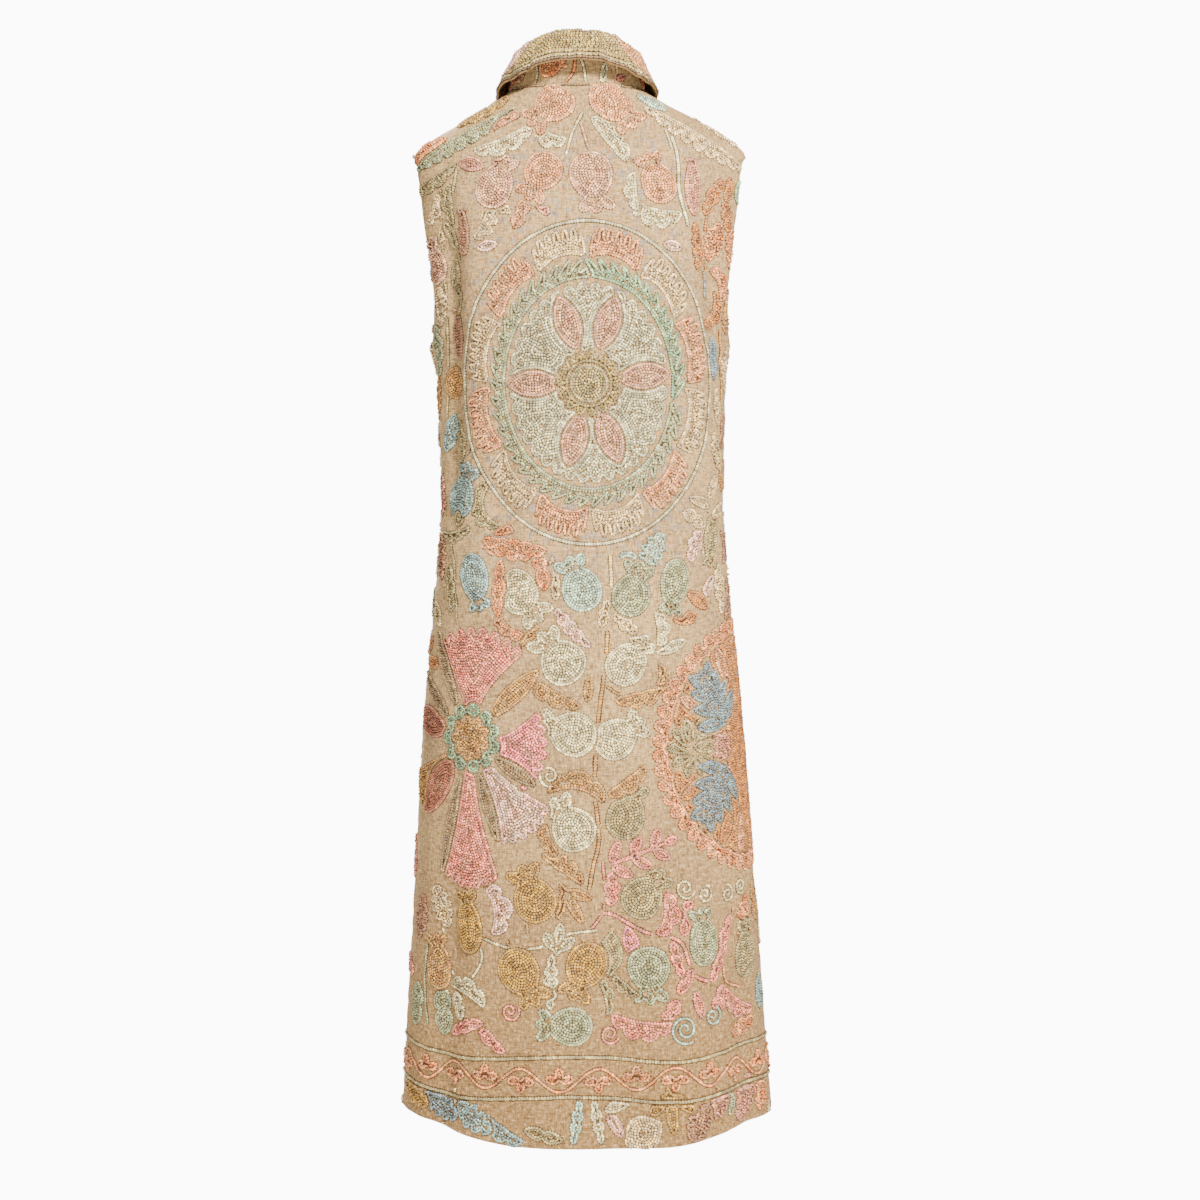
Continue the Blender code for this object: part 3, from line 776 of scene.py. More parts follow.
class Rows:
    """Rows of chain stitch, collected as places on the flat cloth until they are made into one piece."""

    def __init__(self):
        self.parts = []

    def lay(self, path, closed, shades, row=ROW, edges=(False, False), inward=None):
        """Lays one row. It gets a ring at each join of two links and one at each link's middle.

        Edges says whether its left and right sides are edges of the shape, and inward how far the shape's
        bare middle reaches from it.
        """
        ends = np.append(path, path[0]) if closed else path
        if closed and abs(np.diff(ends)).sum() < 2.5 * LINK:
            away = path[np.argmax(abs(path - path.mean()))] - path.mean()
            ends = path.mean() + np.array((-0.7, 0.7)) * LINK * away / max(abs(away), 1e-9)
            closed, inward = False, None
        run = np.concatenate(([0], np.cumsum(abs(np.diff(ends)))))
        links = int(round(run[-1] / LINK))
        if links < 1:
            return
        rings = 2 * links + (0 if closed else 1)
        along = np.arange(rings) * run[-1] / (2 * links)
        if closed:
            along = (along + rng.uniform(0, LINK)) % run[-1]
        middle = np.interp(along, run, ends.real) + 1j * np.interp(along, run, ends.imag)
        if closed:
            ahead, behind = np.roll(middle, -1), np.roll(middle, 1)
            middle = 0.5 * middle + 0.25 * (ahead + behind)
        else:
            ahead, behind = np.append(middle[1:], middle[-1]), np.append(middle[0], middle[:-1])
        heading = ahead - behind
        heading = heading / np.maximum(abs(heading), 1e-9)
        wide = np.arange(rings) % 2
        half = row * np.where(wide, LOOP, JOIN) * rng.normal(1, HAND_WIDTH, rings)
        skirt = SKIRT * (0.4 if all(edges) else 1)
        outward, within = half + skirt * edges[0], half + skirt * edges[1]
        if inward is not None:
            reach = np.append(inward, inward[0]) if closed else inward
            within = np.maximum(within, np.interp(along, run, reach))
        outline = float(any(edges))
        tall = STITCH_HEIGHT * (0.90 if all(edges) else 1.0 + 0.15 * outline)
        height = tall * np.where(wide, 1.0, JOIN_HEIGHT) * rng.normal(1, HAND_HEIGHT, rings)
        if not closed:
            for sides in (outward, within, height):
                sides[[0, -1]] *= 0.5
        middle = middle + 1j * heading * rng.normal(0, HAND_ASIDE, rings)
        across = np.sin(middle.real * HANK_DRIFT[0] + shades[2])
        down = np.sin(middle.imag * HANK_DRIFT[1] + shades[3])
        drift = np.clip(0.5 + 0.5 * across * down + rng.normal(0, HANK_MIXED, rings), 0, 1)[:, None]
        unlike = UNEVEN * (1 - 0.3 * outline)
        # Outer rows are painted darker, as shade.
        light = np.exp(rng.normal(-0.04 - OUTLINE_SHADE * outline, unlike, links + 1) + rng.normal(0, 0.08))
        light = np.clip(np.repeat(light, 2)[:rings, None], 0.35, 1.9)
        colour = blend(np.array(shades[0][:3]), np.array(shades[1][:3]), drift) * light
        # The skirt's share of a row's width, which the stitch material paints as the shape's shadow.
        dark = skirt / (2 * LOOP * row)
        sides = (-dark * edges[0], 1 + dark * edges[1])
        sides = np.tile((*sides, outline), (rings, 1))
        self.parts.append((middle, heading, outward, within, height, colour, sides, closed))

    def made(self, name, form, material):
        """One smooth piece of all the rows, lying on the form."""
        sizes = np.array([len(part[0]) for part in self.parts])
        starts = np.cumsum(sizes) - sizes
        closed = np.array([part[7] for part in self.parts])
        middle, heading, outward, within, height, colour, edge = (
            np.concatenate([part[i] for part in self.parts]) for i in range(7)
        )
        ring = np.arange(len(middle))
        first = np.repeat(starts, sizes)
        last = first + np.repeat(sizes, sizes) - 1
        after = np.where(ring == last, first, ring + 1)
        keep = (ring < last) | np.repeat(closed, sizes)
        aside = 1j * heading
        crown = middle + aside * (outward - within) / 2
        flat = np.stack((middle + aside * outward, crown, middle - aside * within), axis=1)
        low = np.full_like(height, -STITCH_SUNK)
        points = form.at(flat.real, flat.imag, np.stack((low, height, low), axis=1)).reshape(-1, 3)
        here, there = 3 * ring[keep], 3 * after[keep]
        quad = np.stack((here, here + 1, there + 1, there), axis=1)
        quads = np.concatenate((quad, quad + 1))
        corners = quads.ravel()
        mesh = bpy.data.meshes.new(name)
        mesh.vertices.add(len(points))
        mesh.vertices.foreach_set("co", points.ravel())
        mesh.loops.add(len(corners))
        mesh.loops.foreach_set("vertex_index", corners)
        mesh.polygons.add(len(quads))
        mesh.polygons.foreach_set("loop_start", 4 * np.arange(len(quads)))
        mesh.update(calc_edges=True)
        along = (ring - first)[keep] / 2
        step = np.stack((along, along, along + 0.5, along + 0.5), axis=1)
        across = np.stack((edge[:, 0], np.full(len(ring), 0.5), edge[:, 1]), axis=1).ravel()[quads]
        link = np.stack((across.ravel(), np.tile(step, (2, 1)).ravel()), axis=1)
        mesh.uv_layers.new(name="link").data.foreach_set("uv", link.ravel())
        slim = np.stack((middle + aside * ROW * 0.46, middle, middle - aside * ROW * 0.46), axis=1)
        shares = laid_flat(np.stack((slim.real.ravel(), slim.imag.ravel()), axis=1))
        mesh.uv_layers.new(name="OFBake").data.foreach_set("uv", shares[corners].ravel())
        opaque = np.concatenate((np.repeat(colour, 3, axis=0), np.ones((3 * len(ring), 1))), axis=1)
        mesh.attributes.new("dye", "FLOAT_COLOR", "POINT").data.foreach_set("color", opaque.ravel())
        mesh.attributes.new("outline", "FLOAT", "POINT").data.foreach_set("value", np.repeat(edge[:, 2], 3))
        mesh.shade_smooth()
        mesh.materials.append(material)
        piece = bpy.data.objects.new(name, mesh)
        bpy.context.scene.collection.objects.link(piece)
        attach(piece, "root")
        return piece


def bare_middle(inside, spots, line, level):
    """How far a shape's bare middle reaches inwards from a closed row at this level, or 0 beside a row."""
    heading = np.roll(line, -1) - np.roll(line, 1)
    inwards = -1j * heading / np.maximum(abs(heading), 1e-9)
    depth = np.zeros(len(line))
    for away in (0.4, 0.7, 1.0, 1.3):
        places = (line + inwards * away * ROW - spots[0, 0]) / CHART_STEP
        depth = np.maximum(depth, read(inside, places.imag, places.real) - level)
    depth = 0.25 * np.roll(depth, 1) + 0.5 * depth + 0.25 * np.roll(depth, -1)
    return np.where(depth < ROW * 0.98, depth * 1.12, 0.0)


class Chart:
    """The flat cut of a panel, on which the shapes are laid out and filled with rows."""

    def __init__(self, outline):
        low = complex(outline.real.min(), outline.imag.min()) - 2 * CHART_STEP * (1 + 1j)
        high = complex(outline.real.max(), outline.imag.max()) + 3 * CHART_STEP * (1 + 1j)
        across = np.arange(low.real, high.real, CHART_STEP)
        upward = np.arange(low.imag, high.imag, CHART_STEP)
        self.low = low
        self.spots = across[None, :] + 1j * upward[:, None]
        self.cloth = reach_in(outline[::3], self.spots)
        self.worked = np.full(self.spots.shape, -1.0)

    def window(self, shapes):
        """The part of the chart round some shapes."""
        every = np.concatenate(shapes)
        margin = CHART_MARGIN * (1 + 1j)
        low = (complex(every.real.min(), every.imag.min()) - margin - self.low) / CHART_STEP
        high = (complex(every.real.max(), every.imag.max()) + margin - self.low) / CHART_STEP
        rows = slice(max(0, int(low.imag)), max(0, int(high.imag) + 1))
        columns = slice(max(0, int(low.real)), max(0, int(high.real) + 1))
        return rows, columns

    def room(self, window, wanted):
        """How far the wanted spots of a window are from what is already worked."""
        worked, spots = self.worked[window], self.spots[window]
        edge = abs(worked) < 1.6 * CHART_STEP
        free = np.where(worked > 0, -worked, 1.0)
        if not edge.any():
            return free
        asked = spots[wanted & (worked <= 0)]
        nearest = np.full(asked.shape, 1.0)
        places, depths = spots[edge], worked[edge]
        for i in range(0, len(places), CHART_BATCH):
            batch = slice(i, i + CHART_BATCH)
            away = abs(asked[:, None] - places[None, batch]) - depths[None, batch]
            nearest = np.minimum(nearest, away.min(axis=1))
        free[wanted & (worked <= 0)] = nearest
        return free

    def fill(self, rows, shapes, dye):
        """Fills shapes that are joined as one with rows that follow their outline."""
        window = self.window(shapes)
        spots = self.spots[window]
        if spots.size < 4:
            return
        field = np.max([reach_in(shape, spots) for shape in shapes], axis=0)
        if not ((field > 0) & (self.cloth[window] > 0)).any():
            return
        inside = np.minimum(field, self.room(window, field > 0) - BARE)
        inside[[0, -1], :] = np.minimum(inside[[0, -1], :], 0)
        inside[:, [0, -1]] = np.minimum(inside[:, [0, -1]], 0)
        shades = (*DYES[dye], *rng.uniform(0, 6.3, 2))
        for level in np.arange(ROW / 2, inside.max(), ROW):
            for line in level_lines(inside, level, spots):
                inward = bare_middle(inside, spots, line, level)
                self.cut(rows, line, True, shades, edges=(level < ROW, False), inward=inward)
        self.worked[window] = np.maximum(self.worked[window], field)

    def near(self, grid, places):
        """A grid's values at places on the chart."""
        counted = (places - self.low) / CHART_STEP
        return read(grid, counted.imag, counted.real)

    def cut(self, rows, line, closed, shades, row=ROW, free=None, edges=(True, True), inward=None):
        """Lays a row, cut where it leaves the cloth or meets other work."""
        keep = self.near(self.cloth, line) > BARE_EDGE
        if free is not None:
            keep &= free
        if keep.all():
            rows.lay(line, closed, shades, row, edges, inward)
            return
        inward = np.zeros(len(line)) if inward is None else inward
        if closed and keep.any():
            turn = int(np.argmin(keep))
            line, keep, inward = (np.roll(part, -turn) for part in (line, keep, inward))
        bounds = np.flatnonzero(np.diff(np.concatenate(([0], keep.astype(int), [0]))))
        for start, end in zip(bounds[::2], bounds[1::2]):
            if end - start > 3:
                rows.lay(line[start:end], False, shades, row, edges, inward[start:end])

    def line(self, rows, path, dye, row=ROW):
        """Works a stem or a border line in one row of this width."""
        shades = (*DYES[dye], *rng.uniform(0, 6.3, 2))
        self.cut(rows, path, False, shades, row, self.near(self.worked, path) < -row * 0.4)
        window = self.window([path])
        if self.spots[window].size:
            beside = row / 2 - reach_along(path[::4], self.spots[window])
            self.worked[window] = np.maximum(self.worked[window], beside)


def leaf(length, width, blunt=0.85):
    """A leaf, pointed at both ends, along the real axis."""
    share = np.linspace(0, 1, 15)
    half = width / 2 * np.sin(math.pi * share) ** blunt
    spine = (share - 0.5) * length
    return np.concatenate((spine + 1j * half, (spine - 1j * half)[-2:0:-1]))


def blade(length, width, blunt):
    """A leaf that grows from the origin."""
    return leaf(length, width, blunt) + length / 2


def bud(length, width):
    return [leaf(length, width, 0.6)]


def plain_leaf(length, width):
    return [leaf(length, width)]


def turned(shape, degrees, place=0.0):
    return shape * np.exp(1j * math.radians(degrees)) + place


def bent(shape, degrees, length):
    """Bends a shape that lies along the real axis into an arc towards its left."""
    if not degrees:
        return shape
    radius = length / math.radians(degrees)
    swing = np.exp(1j * shape.real / radius)
    return 1j * radius * (1 - swing) + 1j * shape.imag * swing


def pomegranate(length, width):
    """A round fruit with a crown of three fat lobes at its far end."""
    angle = np.linspace(0, 2 * math.pi, 36, endpoint=False)
    taper = 1 - 0.10 * np.cos(angle)
    fruit = length / 2 * np.cos(angle) + 1j * width / 2 * np.sin(angle) * taper
    crown = []
    for degrees, size, off in ((-44, 0.46, -0.06), (2, 0.42, 0.0), (48, 0.50, 0.06)):
        lobe = blade(width * size, width * 0.30, 0.5)
        crown.append(turned(lobe, degrees, length * 0.42 + 1j * off * width))
    return [fruit, *crown]


def trident(length, width):
    """A short stem that parts into three fat leaves."""
    parts = [
        turned(blade(length * size, width * 0.42, 0.6), degrees, -length * 0.34)
        for degrees, size in ((44, 0.74), (0, 0.95), (-44, 0.74))
    ]
    return [leaf(length * 0.5, width * 0.30, 0.5) - length * 0.32, *parts]


def frond(lobes, bend=0, plain=1.0):
    """A form for a leaf with rounded lobes down its outer side, and plainer ones or none down its inner."""

    def form(length, width):
        share = np.linspace(0, 1, 14 * lobes + 1)
        half = 0.56 * width * np.sin(math.pi * share) ** 0.55
        bumps = 0.54 + 0.46 * abs(np.sin(lobes * math.pi * share)) ** 0.4
        spine = (share - 0.5) * length
        inner = half * blend(0.30, bumps, plain)
        outline = np.concatenate((spine + 1j * inner, (spine - 1j * half * bumps)[-2:0:-1]))
        made = bent(outline, abs(bend), length)
        return [made if bend >= 0 else made.conjugate()]

    return form


comb = frond(4, 55, 0.0)
hook = frond(3, 110, 0.0)
hook_back = frond(3, -110, 0.0)
curl = frond(5, 160, 0.1)
curl_back = frond(5, -160, 0.1)
band = frond(9, 6, 0.0)
oak = frond(5)


def lobed(length, width):
    """A long leaf with rounded lobes down both sides."""
    return frond(max(2, round(length / width * 1.35)))(length, width)


def maple(length, width):
    """A jagged leaf, with pointed lobes in pairs down its rib."""
    shapes = [leaf(length, width * 0.50, 0.8)]
    for i in range(4):
        foot = length * (i * 0.21 - 0.40)
        size = width * (0.78 - 0.09 * i)
        for side in (1, -1):
            lobe = leaf(size, width * 0.28, 0.9) + size * 0.42
            shapes.append(turned(lobe, (66 - 9 * i) * side, foot))
    return shapes


def spray(length, width):
    """A stem with pairs of leaves and one at its tip."""
    pairs = max(2, round(length / 0.022))
    shapes = [leaf(length, width * 0.12, 0.3), leaf(width * 0.42, width * 0.24, 0.6) + length * 0.5]
    for i in range(pairs):
        foot = length * ((i + 0.25) / (pairs + 0.2) - 0.5)
        size = width * 0.62 * (1 - 0.25 * i / pairs)
        for side in (1, -1):
            leaflet = blade(size, width * 0.29, 0.6)
            shapes.append(turned(leaflet, 46 * side, foot + side * 0.02j * width))
    return shapes


# The shapes on the back: the distance round from the centre back and the drop below the shoulders of the
# middle of each, which way its tip points in degrees from the wearer's right, and its size. What lies on
# top comes first.
Motif = namedtuple("Motif", "form across drop turn length width dye")
BACK_MOTIFS = [Motif(*row) for row in (
    # yoke
    (pomegranate, -0.029, 0.029, 220, 0.048, 0.045, "peach"),
    (frond(2, 20, 0.0), -0.080, 0.047, 205, 0.046, 0.018, "peach"),
    (pomegranate, 0.034, 0.026, 310, 0.054, 0.046, "peach"),
    (comb, -0.083, 0.072, 22, 0.076, 0.030, "cream"),
    (hook, -0.033, 0.068, 330, 0.040, 0.026, "cream"),
    (frond(3, -25, 0.2), 0.033, 0.070, 308, 0.068, 0.030, "cream"),
    (pomegranate, -0.092, 0.123, 68, 0.052, 0.042, "pink"),
    (bud, -0.120, 0.096, 165, 0.034, 0.018, "rose"),
    (pomegranate, -0.039, 0.108, 240, 0.046, 0.043, "peach"),
    (frond(2), -0.063, 0.154, 245, 0.040, 0.017, "peach"),
    (bud, -0.041, 0.146, 305, 0.030, 0.014, "rose"),
    (pomegranate, 0.013, 0.113, 278, 0.056, 0.048, "pink"),
    (pomegranate, 0.086, 0.119, 112, 0.050, 0.040, "peach"),
    (frond(3, 40, 0.0), 0.059, 0.130, 275, 0.046, 0.022, "cream"),
    (comb, 0.083, 0.153, 352, 0.060, 0.032, "cream"),
    (pomegranate, 0.127, 0.122, 92, 0.064, 0.022, "rose"),
    (frond(3, -30), 0.155, 0.128, 60, 0.052, 0.018, "orange"),
    (bud, 0.178, 0.118, 70, 0.034, 0.018, "orange"),
    (frond(3), 0.176, 0.147, 100, 0.040, 0.020, "orange"),
    (frond(4, 40), 0.135, 0.186, 95, 0.056, 0.020, "orange"),
    (oak, 0.158, 0.178, 70, 0.046, 0.026, "coral"),
    (oak, 0.188, 0.182, 100, 0.050, 0.026, "coral"),
    (plain_leaf, 0.203, 0.120, 90, 0.036, 0.033, "green"),
    # shoulders
    (band, -0.140, 0.062, 24, 0.150, 0.032, "sage"),
    (frond(4), -0.120, 0.028, 20, 0.080, 0.026, "mustard"),
    (frond(3), -0.186, 0.072, 30, 0.060, 0.026, "coral"),
    (band, 0.140, 0.062, 336, 0.156, 0.034, "oat"),
    (bud, 0.084, 0.022, 340, 0.042, 0.018, "mist"),
    (frond(3), 0.176, 0.046, 325, 0.060, 0.020, "oat"),
    (frond(4, 25, 0.0), -0.172, 0.108, 20, 0.076, 0.024, "olive"),
    # left of the medallion
    (frond(3, -40, 0.3), -0.150, 0.138, 95, 0.050, 0.020, "olive"),
    (pomegranate, -0.130, 0.172, 92, 0.050, 0.017, "rosewood"),
    (bud, -0.150, 0.172, 120, 0.040, 0.015, "olive"),
    (hook, -0.172, 0.142, 60, 0.040, 0.022, "oat"),
    (bud, -0.160, 0.166, 60, 0.034, 0.013, "oat"),
    (comb, -0.103, 0.163, 62, 0.044, 0.026, "oat"),
    (hook_back, -0.092, 0.153, 20, 0.040, 0.022, "oat"),
    (bud, -0.101, 0.188, 10, 0.026, 0.013, "blush"),
    (pomegranate, -0.178, 0.202, 95, 0.044, 0.036, "pink"),
    (bud, -0.150, 0.212, 70, 0.036, 0.014, "olive"),
    (hook, -0.146, 0.240, 100, 0.036, 0.020, "olive"),
    (oak, -0.176, 0.246, 85, 0.046, 0.024, "oat"),
    (pomegranate, -0.147, 0.279, 95, 0.056, 0.022, "rosewood"),
    (frond(4), -0.184, 0.292, 90, 0.060, 0.022, "sage"),
    (bud, -0.157, 0.330, 90, 0.038, 0.034, "tan"),
    (oak, -0.192, 0.344, 85, 0.050, 0.024, "tan"),
    # right of the medallion
    (hook, 0.170, 0.222, 120, 0.042, 0.024, "coral"),
    (curl, 0.164, 0.256, 60, 0.054, 0.022, "orange"),
    (plain_leaf, 0.159, 0.304, 90, 0.052, 0.026, "slate"),
    (oak, 0.188, 0.250, 85, 0.052, 0.026, "tan"),
    (oak, 0.194, 0.314, 95, 0.054, 0.026, "oat"),
    (frond(3), 0.166, 0.356, 95, 0.044, 0.018, "oat"),
    (frond(3, 30), 0.186, 0.380, 70, 0.050, 0.020, "rosewood"),
    (oak, 0.164, 0.404, 110, 0.044, 0.022, "oat"),
    (bud, 0.190, 0.430, 60, 0.046, 0.020, "tan"),
    (bud, 0.136, 0.462, 165, 0.036, 0.014, "oat"),
    (bud, 0.156, 0.444, 55, 0.036, 0.016, "oat"),
    (frond(2), 0.127, 0.480, 150, 0.036, 0.017, "oat"),
    (bud, 0.168, 0.470, 30, 0.036, 0.015, "oat"),
    (pomegranate, 0.154, 0.500, 262, 0.056, 0.028, "olive"),
    (frond(3), 0.128, 0.508, 70, 0.044, 0.018, "blush"),
    (hook, 0.184, 0.510, 100, 0.040, 0.022, "rosewood"),
    # below the medallion
    (frond(2), -0.166, 0.384, 72, 0.046, 0.020, "blue"),
    (frond(3, 45, 0.0), -0.142, 0.394, 100, 0.052, 0.020, "olive"),
    (pomegranate, -0.143, 0.455, 66, 0.052, 0.046, "blue"),
    (curl_back, -0.114, 0.468, 100, 0.064, 0.026, "olive"),
    (comb, -0.152, 0.496, 5, 0.056, 0.018, "olive"),
    (oak, -0.186, 0.452, 88, 0.050, 0.022, "rose"),
    (frond(5, 20, 0.3), -0.075, 0.511, 350, 0.076, 0.030, "coral"),
    (frond(2, -30), -0.044, 0.536, 285, 0.050, 0.017, "coral"),
    (hook_back, -0.092, 0.498, 30, 0.038, 0.020, "coral"),
    (frond(3), -0.092, 0.556, 268, 0.066, 0.016, "coral"),
    (hook, -0.082, 0.599, 320, 0.042, 0.024, "coral"),
    (pomegranate, -0.122, 0.545, 283, 0.056, 0.036, "blue"),
    (frond(3), -0.158, 0.556, 275, 0.056, 0.018, "olive"),
    (oak, -0.180, 0.520, 95, 0.056, 0.024, "rosewood"),
    (pomegranate, -0.070, 0.561, 310, 0.054, 0.047, "cream"),
    (pomegranate, -0.001, 0.557, 112, 0.050, 0.044, "mist"),
    (frond(4), -0.030, 0.546, 95, 0.050, 0.015, "oat"),
    (frond(5, 12, 0.6), -0.012, 0.598, 312, 0.062, 0.018, "blush"),
    (bud, -0.036, 0.578, 340, 0.030, 0.013, "cream"),
    (pomegranate, 0.053, 0.563, 72, 0.049, 0.043, "sage"),
    (oak, 0.076, 0.517, 60, 0.050, 0.026, "mist"),
    (bud, 0.052, 0.523, 165, 0.028, 0.013, "mist"),
    (frond(3), 0.024, 0.583, 255, 0.034, 0.014, "oat"),
    (frond(3), 0.046, 0.594, 320, 0.036, 0.016, "oat"),
    (pomegranate, 0.102, 0.550, 258, 0.054, 0.035, "sage"),
    (bud, 0.132, 0.569, 330, 0.036, 0.017, "orange"),
    (frond(2), 0.115, 0.588, 5, 0.034, 0.016, "orange"),
    (bud, 0.146, 0.556, 55, 0.038, 0.014, "blush"),
    (frond(4), 0.168, 0.556, 100, 0.060, 0.020, "oat"),
    (frond(3), 0.190, 0.570, 80, 0.056, 0.022, "rosewood"),
    (frond(3, 60, 0.0), 0.084, 0.600, 95, 0.040, 0.024, "cream"),
    (bud, 0.098, 0.619, 22, 0.042, 0.014, "cream"),
    (pomegranate, -0.021, 0.635, 128, 0.050, 0.050, "cream"),
    (pomegranate, 0.047, 0.637, 52, 0.050, 0.044, "cream"),
    (curl, -0.074, 0.613, 15, 0.076, 0.030, "tan"),
    (frond(4, 25, 0.2), -0.034, 0.668, 332, 0.074, 0.024, "tan"),
    (bud, 0.006, 0.664, 85, 0.030, 0.012, "tan"),
    (frond(4, 25, 0.2), 0.064, 0.671, 12, 0.064, 0.024, "tan"),
    (hook, 0.084, 0.653, 75, 0.034, 0.018, "tan"),
    (pomegranate, -0.011, 0.711, 165, 0.052, 0.049, "cream"),
    (pomegranate, 0.035, 0.716, 32, 0.050, 0.044, "cream"),
    (hook_back, -0.006, 0.765, 350, 0.070, 0.030, "tan"),
    (frond(3, 30, 0.1), 0.047, 0.762, 35, 0.056, 0.024, "tan"),
    (pomegranate, -0.011, 0.811, 125, 0.050, 0.048, "cream"),
    (pomegranate, 0.045, 0.798, 72, 0.052, 0.042, "olive"),
    (comb, -0.038, 0.820, 290, 0.046, 0.022, "tan"),
    (frond(4, -30, 0.2), -0.022, 0.852, 325, 0.056, 0.024, "tan"),
    # lower field
    (spray, 0.058, 0.838, 20, 0.076, 0.046, "rosered"),
    (frond(3), 0.030, 0.874, 265, 0.042, 0.018, "rosered"),
    (pomegranate, -0.130, 0.918, 95, 0.060, 0.037, "mustard"),
    (pomegranate, -0.053, 0.886, 112, 0.050, 0.047, "mustard"),
    (pomegranate, 0.001, 0.955, 245, 0.052, 0.044, "mustard"),
    (pomegranate, -0.070, 0.962, 300, 0.052, 0.047, "mustard"),
    (pomegranate, 0.062, 0.884, 50, 0.048, 0.044, "olive"),
    (plain_leaf, 0.027, 0.944, 85, 0.052, 0.030, "olive"),
    (frond(3, -60, 0.0), 0.022, 0.987, 285, 0.046, 0.018, "olive"),
    (frond(3, 30, 0.2), 0.042, 0.977, 320, 0.036, 0.018, "olive"),
    (pomegranate, 0.068, 0.959, 272, 0.048, 0.046, "sage"),
    (pomegranate, 0.131, 0.934, 95, 0.054, 0.038, "sage"),
    (pomegranate, 0.200, 0.954, 90, 0.054, 0.040, "olive"),
    (pomegranate, -0.175, 0.965, 95, 0.052, 0.034, "tan"),
    (pomegranate, -0.016, 1.018, 175, 0.048, 0.042, "sage"),
    (frond(2), -0.169, 1.012, 95, 0.056, 0.026, "sage"),
    (frond(2), -0.212, 1.010, 85, 0.050, 0.028, "sage"),
    (hook, -0.094, 0.897, 100, 0.060, 0.032, "blush"),
    (oak, -0.170, 0.900, 110, 0.050, 0.026, "oat"),
    (oak, -0.205, 0.915, 80, 0.052, 0.026, "rosewood"),
    (frond(5), -0.036, 0.972, 268, 0.062, 0.016, "cream"),
    (trident, -0.028, 0.928, 80, 0.034, 0.032, "cream"),
    (frond(3, -70, 0.0), -0.132, 0.987, 340, 0.056, 0.028, "cream"),
    (frond(2), -0.145, 1.004, 290, 0.034, 0.018, "cream"),
    (frond(3, -20, 0.4), -0.134, 1.026, 20, 0.050, 0.020, "rosered"),
    (frond(3, 20, 0.4), -0.105, 1.033, 318, 0.052, 0.018, "rosered"),
    (comb, 0.060, 1.019, 352, 0.072, 0.032, "rosered"),
    (frond(2), 0.091, 1.006, 60, 0.034, 0.018, "rosered"),
    (trident, -0.014, 0.889, 300, 0.044, 0.030, "tan"),
    (plain_leaf, 0.050, 0.932, 285, 0.042, 0.018, "hot"),
    (hook, 0.089, 0.903, 80, 0.050, 0.028, "rosered"),
    (frond(3), 0.110, 0.906, 80, 0.044, 0.018, "rosered"),
    (frond(3), 0.098, 0.950, 285, 0.044, 0.014, "rosered"),
    (plain_leaf, 0.107, 0.974, 235, 0.036, 0.016, "rosered"),
    (plain_leaf, 0.123, 1.000, 290, 0.038, 0.014, "rosered"),
    (frond(5), 0.156, 0.944, 68, 0.080, 0.018, "rosered"),
    (frond(3), 0.150, 1.002, 250, 0.046, 0.018, "rosered"),
    (oak, 0.196, 0.914, 70, 0.052, 0.026, "coral"),
    (comb, 0.182, 1.004, 330, 0.064, 0.030, "rosered"),
    (frond(3), 0.192, 1.032, 20, 0.044, 0.020, "coral"),
    (plain_leaf, 0.232, 1.000, 90, 0.044, 0.026, "blue"),
    # below the border
    (oak, -0.214, 1.106, 340, 0.056, 0.026, "mustard"),
    (oak, -0.172, 1.112, 340, 0.060, 0.028, "slate"),
    (plain_leaf, -0.152, 1.104, 80, 0.034, 0.012, "oat"),
    (oak, -0.128, 1.118, 330, 0.060, 0.028, "blue"),
    (frond(3, 40, 0.2), -0.092, 1.130, 330, 0.056, 0.024, "blue"),
    (frond(2), -0.046, 1.132, 345, 0.046, 0.016, "olive"),
    (frond(4), 0.011, 1.118, 280, 0.052, 0.013, "cream"),
    (bud, 0.034, 1.102, 20, 0.036, 0.015, "cream"),
    (bud, 0.030, 1.122, 300, 0.036, 0.014, "blush"),
    (plain_leaf, 0.060, 1.132, 30, 0.048, 0.040, "oat"),
    (trident, 0.090, 1.106, 275, 0.050, 0.034, "mustard"),
    (oak, 0.122, 1.124, 60, 0.044, 0.030, "rosewood"),
    (oak, 0.143, 1.108, 30, 0.046, 0.030, "rose"),
    (plain_leaf, 0.166, 1.110, 80, 0.032, 0.013, "sage"),
    (oak, 0.192, 1.108, 60, 0.056, 0.032, "rose"),
    (oak, 0.222, 1.108, 80, 0.040, 0.024, "coral"),
)]


def through(*places):
    """A smooth path through (distance round, drop) places, as a row of close points."""
    knots = np.array([complex(across, -drop) for across, drop in places])
    ends = np.concatenate(([2 * knots[0] - knots[1]], knots, [2 * knots[-1] - knots[-2]]))
    pieces = []
    for a, b, c, d in zip(ends, ends[1:], ends[2:], ends[3:]):
        t = np.linspace(0, 1, max(4, int(abs(c - b) / 0.0012)), endpoint=False)
        square, cube = 2 * a - 5 * b + 4 * c - d, 3 * b - a - 3 * c + d
        pieces.append(0.5 * (2 * b + (c - a) * t + square * t**2 + cube * t**3))
    return np.concatenate((*pieces, knots[-1:]))


def spiral(across, drop, radius, turns=1.8, start=0.0):
    """A scroll that winds outwards from its middle."""
    share = np.linspace(0.08, 1, 60)
    return complex(across, -drop) + radius * share * np.exp(1j * (2 * math.pi * turns * share + start))


